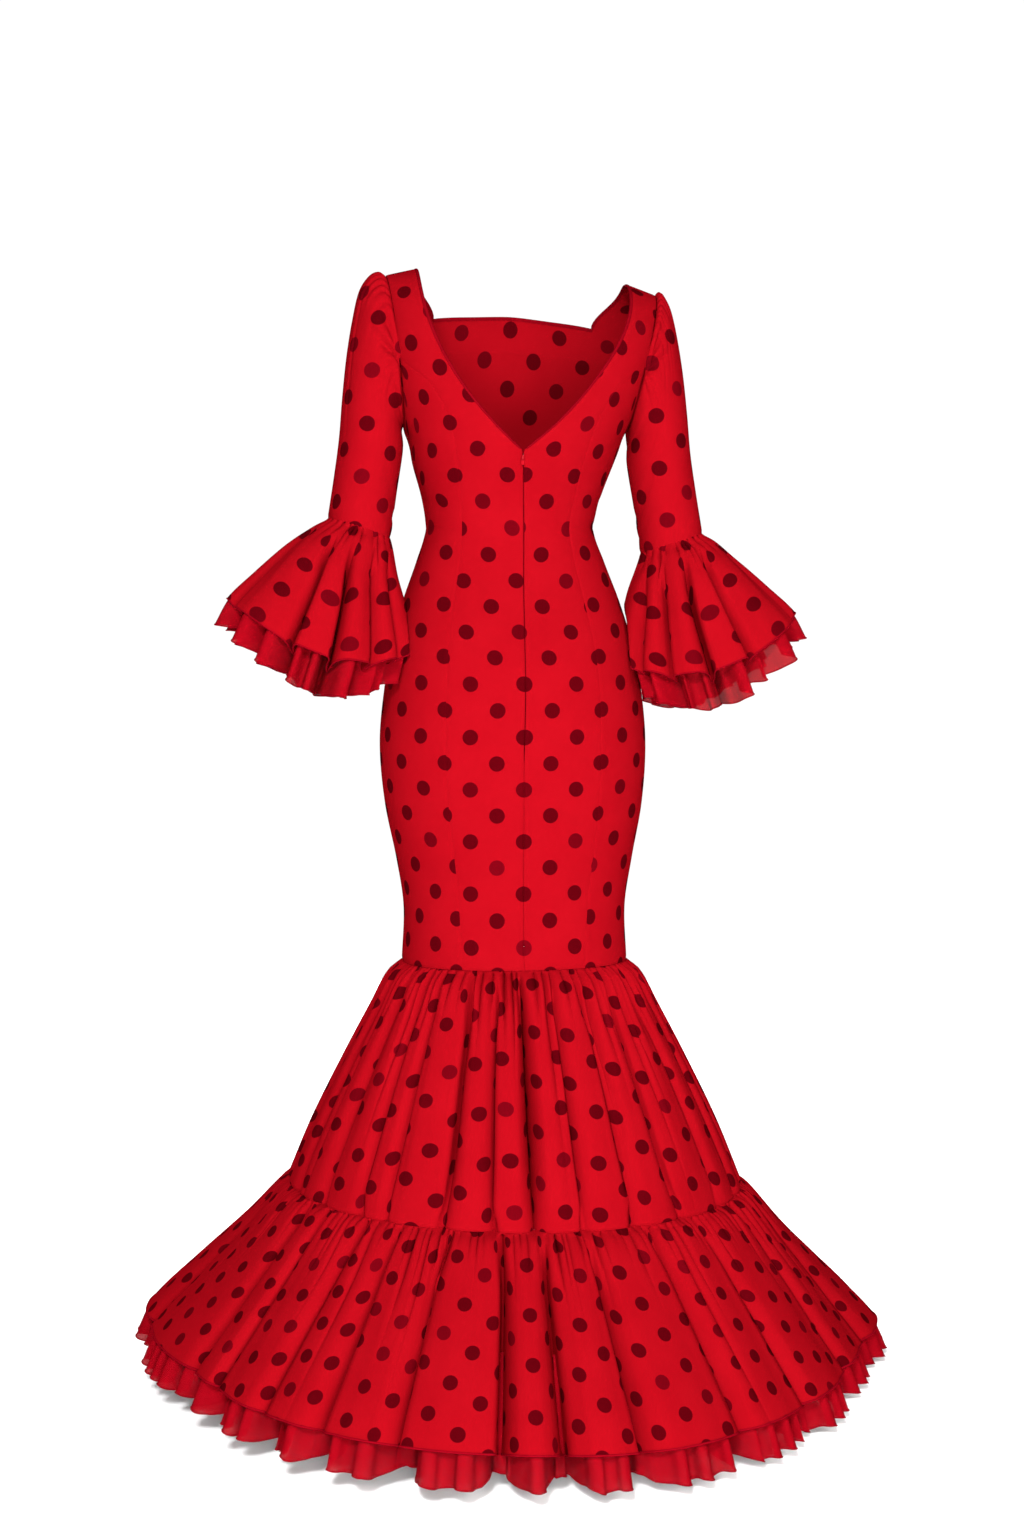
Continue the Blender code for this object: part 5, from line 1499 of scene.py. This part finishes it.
def add_zip(tape_coat, teeth_coat_with_slit_shade):
    """Both tapes behind the centre-back edges, and the teeth along them."""
    places = []
    for side, word in SIDES:
        points, sign, z = back_centre(side)
        rows = (z >= ZIP_END_Z) & (z <= ZIP_TOP_Z)
        tape = inside_of(points[rows], sign, np.linspace(0, TAPE_WIDTH, 5), CLOTH + TAPE_GAP)
        flat = laid_out(tape)
        piece = add_sheet(f"zip_tape_{word}_cloth", [for_grid(tape, flat, facing(tape)[..., 1].sum())], TAPE)
        dressed(piece, tape_coat, [f"zip_tape_{word}"])
        run = flat[:, 0, 1]
        start = TOOTH_STEP * (0.5 if side > 0 else 1.0)
        for place in np.arange(start, run[-1], TOOTH_STEP):
            x, y, z = (np.interp(place, run, axis) for axis in tape[:, 0].T)
            places.append((x - side * TOOTH_PAST, y - TOOTH_INWARDS, z))
    pick()
    bpy.ops.mesh.primitive_cube_add(size=1, location=(0, 0, 0))
    teeth = bpy.context.object
    bpy.ops.object.mode_set(mode="EDIT")
    bpy.ops.mesh.select_all(action="SELECT")
    bpy.ops.mesh.delete(type="VERT")
    for place in places:
        bpy.ops.mesh.primitive_cube_add(size=1, location=place, scale=TOOTH)
    bpy.ops.object.mode_set(mode="OBJECT")
    teeth.name = "zip_teeth"
    # the teeth's colour holds painted shade of the slit
    dressed(teeth, teeth_coat_with_slit_shade, [])


# ---------------- make everything

cloth = dotted_cloth()
organza = organza_cloth()
roll_cloth = plain_cloth("rolled_hem_thread", (0.13, 0.0008, 0.004), 0.6)
# The binding is coloured darker than the dress cloth: painted shade of its rolled edge.
binding_cloth_painted_shade = plain_cloth("binding_cloth_painted_shade", (0.110, 0.0007, 0.003), 0.6)
tape_cloth = plain_cloth("zip_tape_cloth", (0.075, 0.0006, 0.0024), 0.8)
enamel = enamelled_metal()
# The coil's own dark colour, made darker still as painted shade of the centre-back slit that it shows
# through.
coil_with_slit_shade = plain_cloth("zip_coil_with_slit_shade", (0.055, 0.0004, 0.0018), 0.45)

SKIRT_ROLL, SLEEVE_ROLL, ORGANZA_ROLL = 0.0013, 0.0010, 0.0009  # radii of the rolled hems


def add_frill(name, grids, sheer, nodes, rolls=()):
    """Gathered dotted cloth or sheer organza, with any rolled hem given as (name, edge, radius)."""
    coat, slot, thickness = (organza, "organza", ORGANZA) if sheer else (cloth, "dress_cloth", CLOTH)
    piece = dressed(add_sheet(name + "_cloth", grids, thickness), coat, nodes)
    hems = [dressed(rolled_hem(*roll), roll_cloth, []) for roll in rolls]


def numbered(name, count):
    return [f"{name}_{i}" for i in range(1, count + 1)]


rims = add_body(cloth)
add_binding(rims, binding_cloth_painted_shade)
add_zip(tape_cloth, coil_with_slit_shade)

upper = upper_tier()
name = "skirt_upper_tier"
grids = halves(upper, UPPER_COLUMNS.angle, UPPER_CUT)
add_frill(name, grids, False, numbered(name, 4))

lower = lower_tier(upper[-1])
name, hem = "skirt_lower_tier", ("skirt_lower_tier_hem", lower[-1], SKIRT_ROLL)
grids = halves(lower, LOWER_COLUMNS.angle, LOWER_CUT)
add_frill(name, grids, False, numbered(name, 6), [hem])

points, angle = hem_organza()
name, hem = "hem_organza", ("hem_organza_roll", points[-1], ORGANZA_ROLL)
grids = halves(points, angle, ORGANZA_CUT)
add_frill(name, grids, True, numbered(name, 6), [hem])

SLEEVE_LAY = {"left": (0.060, 0.059), "right": (0.044, 0.043)}  # where the dots start on each flat sleeve
for side, word in SIDES:
    points, sign = sleeve(side)
    flat = sleeve_flat(points, np.linspace(0, ROUND, points.shape[1]), side) - SLEEVE_LAY[word]
    piece = add_sheet(f"sleeve_{word}_cloth", [for_grid(points, flat, sign)], CLOTH)
    dressed(piece, cloth, [f"sleeve_{word}"])
    points, name = sleeve_flounce(side), f"sleeve_flounce_{word}"
    hem = (name + "_hem", points[-1], SLEEVE_ROLL)
    add_frill(name, opened(points, SLEEVE_CUT), False, [name], [hem])
    points, name = sleeve_organza(side), f"sleeve_organza_{word}"
    hem = (name + "_roll", points[-1], ORGANZA_ROLL)
    grids = opened(points, SLEEVE_ORGANZA_CUT)
    add_frill(name, grids, True, [name], [hem])

for solid in ("zip_slider", "zip_pull_tab"):
    target = frame["nodes"][solid]
    target.data.materials.clear()
    target.data.materials.append(enamel)

# ---------------- floor, light and camera

FLOOR_Z, FLOOR_RADIUS = -1.4375, 3.4
bpy.ops.mesh.primitive_circle_add(
    vertices=96, radius=FLOOR_RADIUS, fill_type="NGON", location=(0, 0, FLOOR_Z)
)
floor = bpy.context.object
floor.name = "floor"
pale, *_ = material("pale_floor", {"Base Color": (0.97, 0.97, 0.97, 1), "Roughness": 0.9})
floor.data.materials.append(pale)

AMBIENT = 0.30  # light from all round
BACKDROP = 1.03  # brightness of the backdrop as the camera sees it
world = bpy.data.worlds.new("studio")
bpy.context.scene.world = world
world.use_nodes = True
seen = node(world.node_tree, "LightPath", {}).outputs["Is Camera Ray"]
strength = math_node(world.node_tree, "Math", "MULTIPLY_ADD", seen, BACKDROP - AMBIENT, AMBIENT)[0]
feed(world.node_tree.nodes["Background"], {"Color": (1, 1, 1, 1), "Strength": strength})


def area_light(name, location, target, size, watts):
    """A round lamp turned towards a target."""
    data = bpy.data.lights.new(name, "AREA")
    data.shape = "DISK"
    data.size = size
    data.energy = watts
    lamp = bpy.data.objects.new(name, data)
    bpy.context.scene.collection.objects.link(lamp)
    lamp.location = location
    way = np.array(target) - np.array(location)
    tilt, turn = math.acos(-way[2] / np.linalg.norm(way)), math.atan2(way[1], way[0]) - math.pi / 2
    lamp.rotation_euler = (tilt, 0, turn)


area_light("key", (1.0, 3.6, 1.4), (0, 0, -0.75), 0.9, 255)
area_light("fill", (-2.0, 3.2, 0.7), (0, 0, -0.75), 1.5, 95)
area_light("low", (0.2, 2.7, -0.95), (0, 0, -1.40), 1.1, 98)
area_light("front", (0.5, -3.6, 1.2), (0, 0, -0.6), 2.0, 260)
bpy.context.scene.view_settings.view_transform = "Standard"

TURN = math.radians(173)
PITCH = math.radians(2.9)
DISTANCE = 2.8
LENS = 49.34
CAMERA_X, CAMERA_Z = 0.009, -0.4996
lens = bpy.data.cameras.new("camera")
lens.sensor_fit = "VERTICAL"
lens.sensor_height = 36
lens.lens = LENS
lens.shift_x = -2 / 1536
camera = bpy.data.objects.new("camera", lens)
bpy.context.scene.collection.objects.link(camera)
camera.location = (math.sin(TURN) * DISTANCE + CAMERA_X, -math.cos(TURN) * DISTANCE, CAMERA_Z)
camera.rotation_euler = (math.pi / 2 - PITCH, 0, TURN)
bpy.context.scene.camera = camera
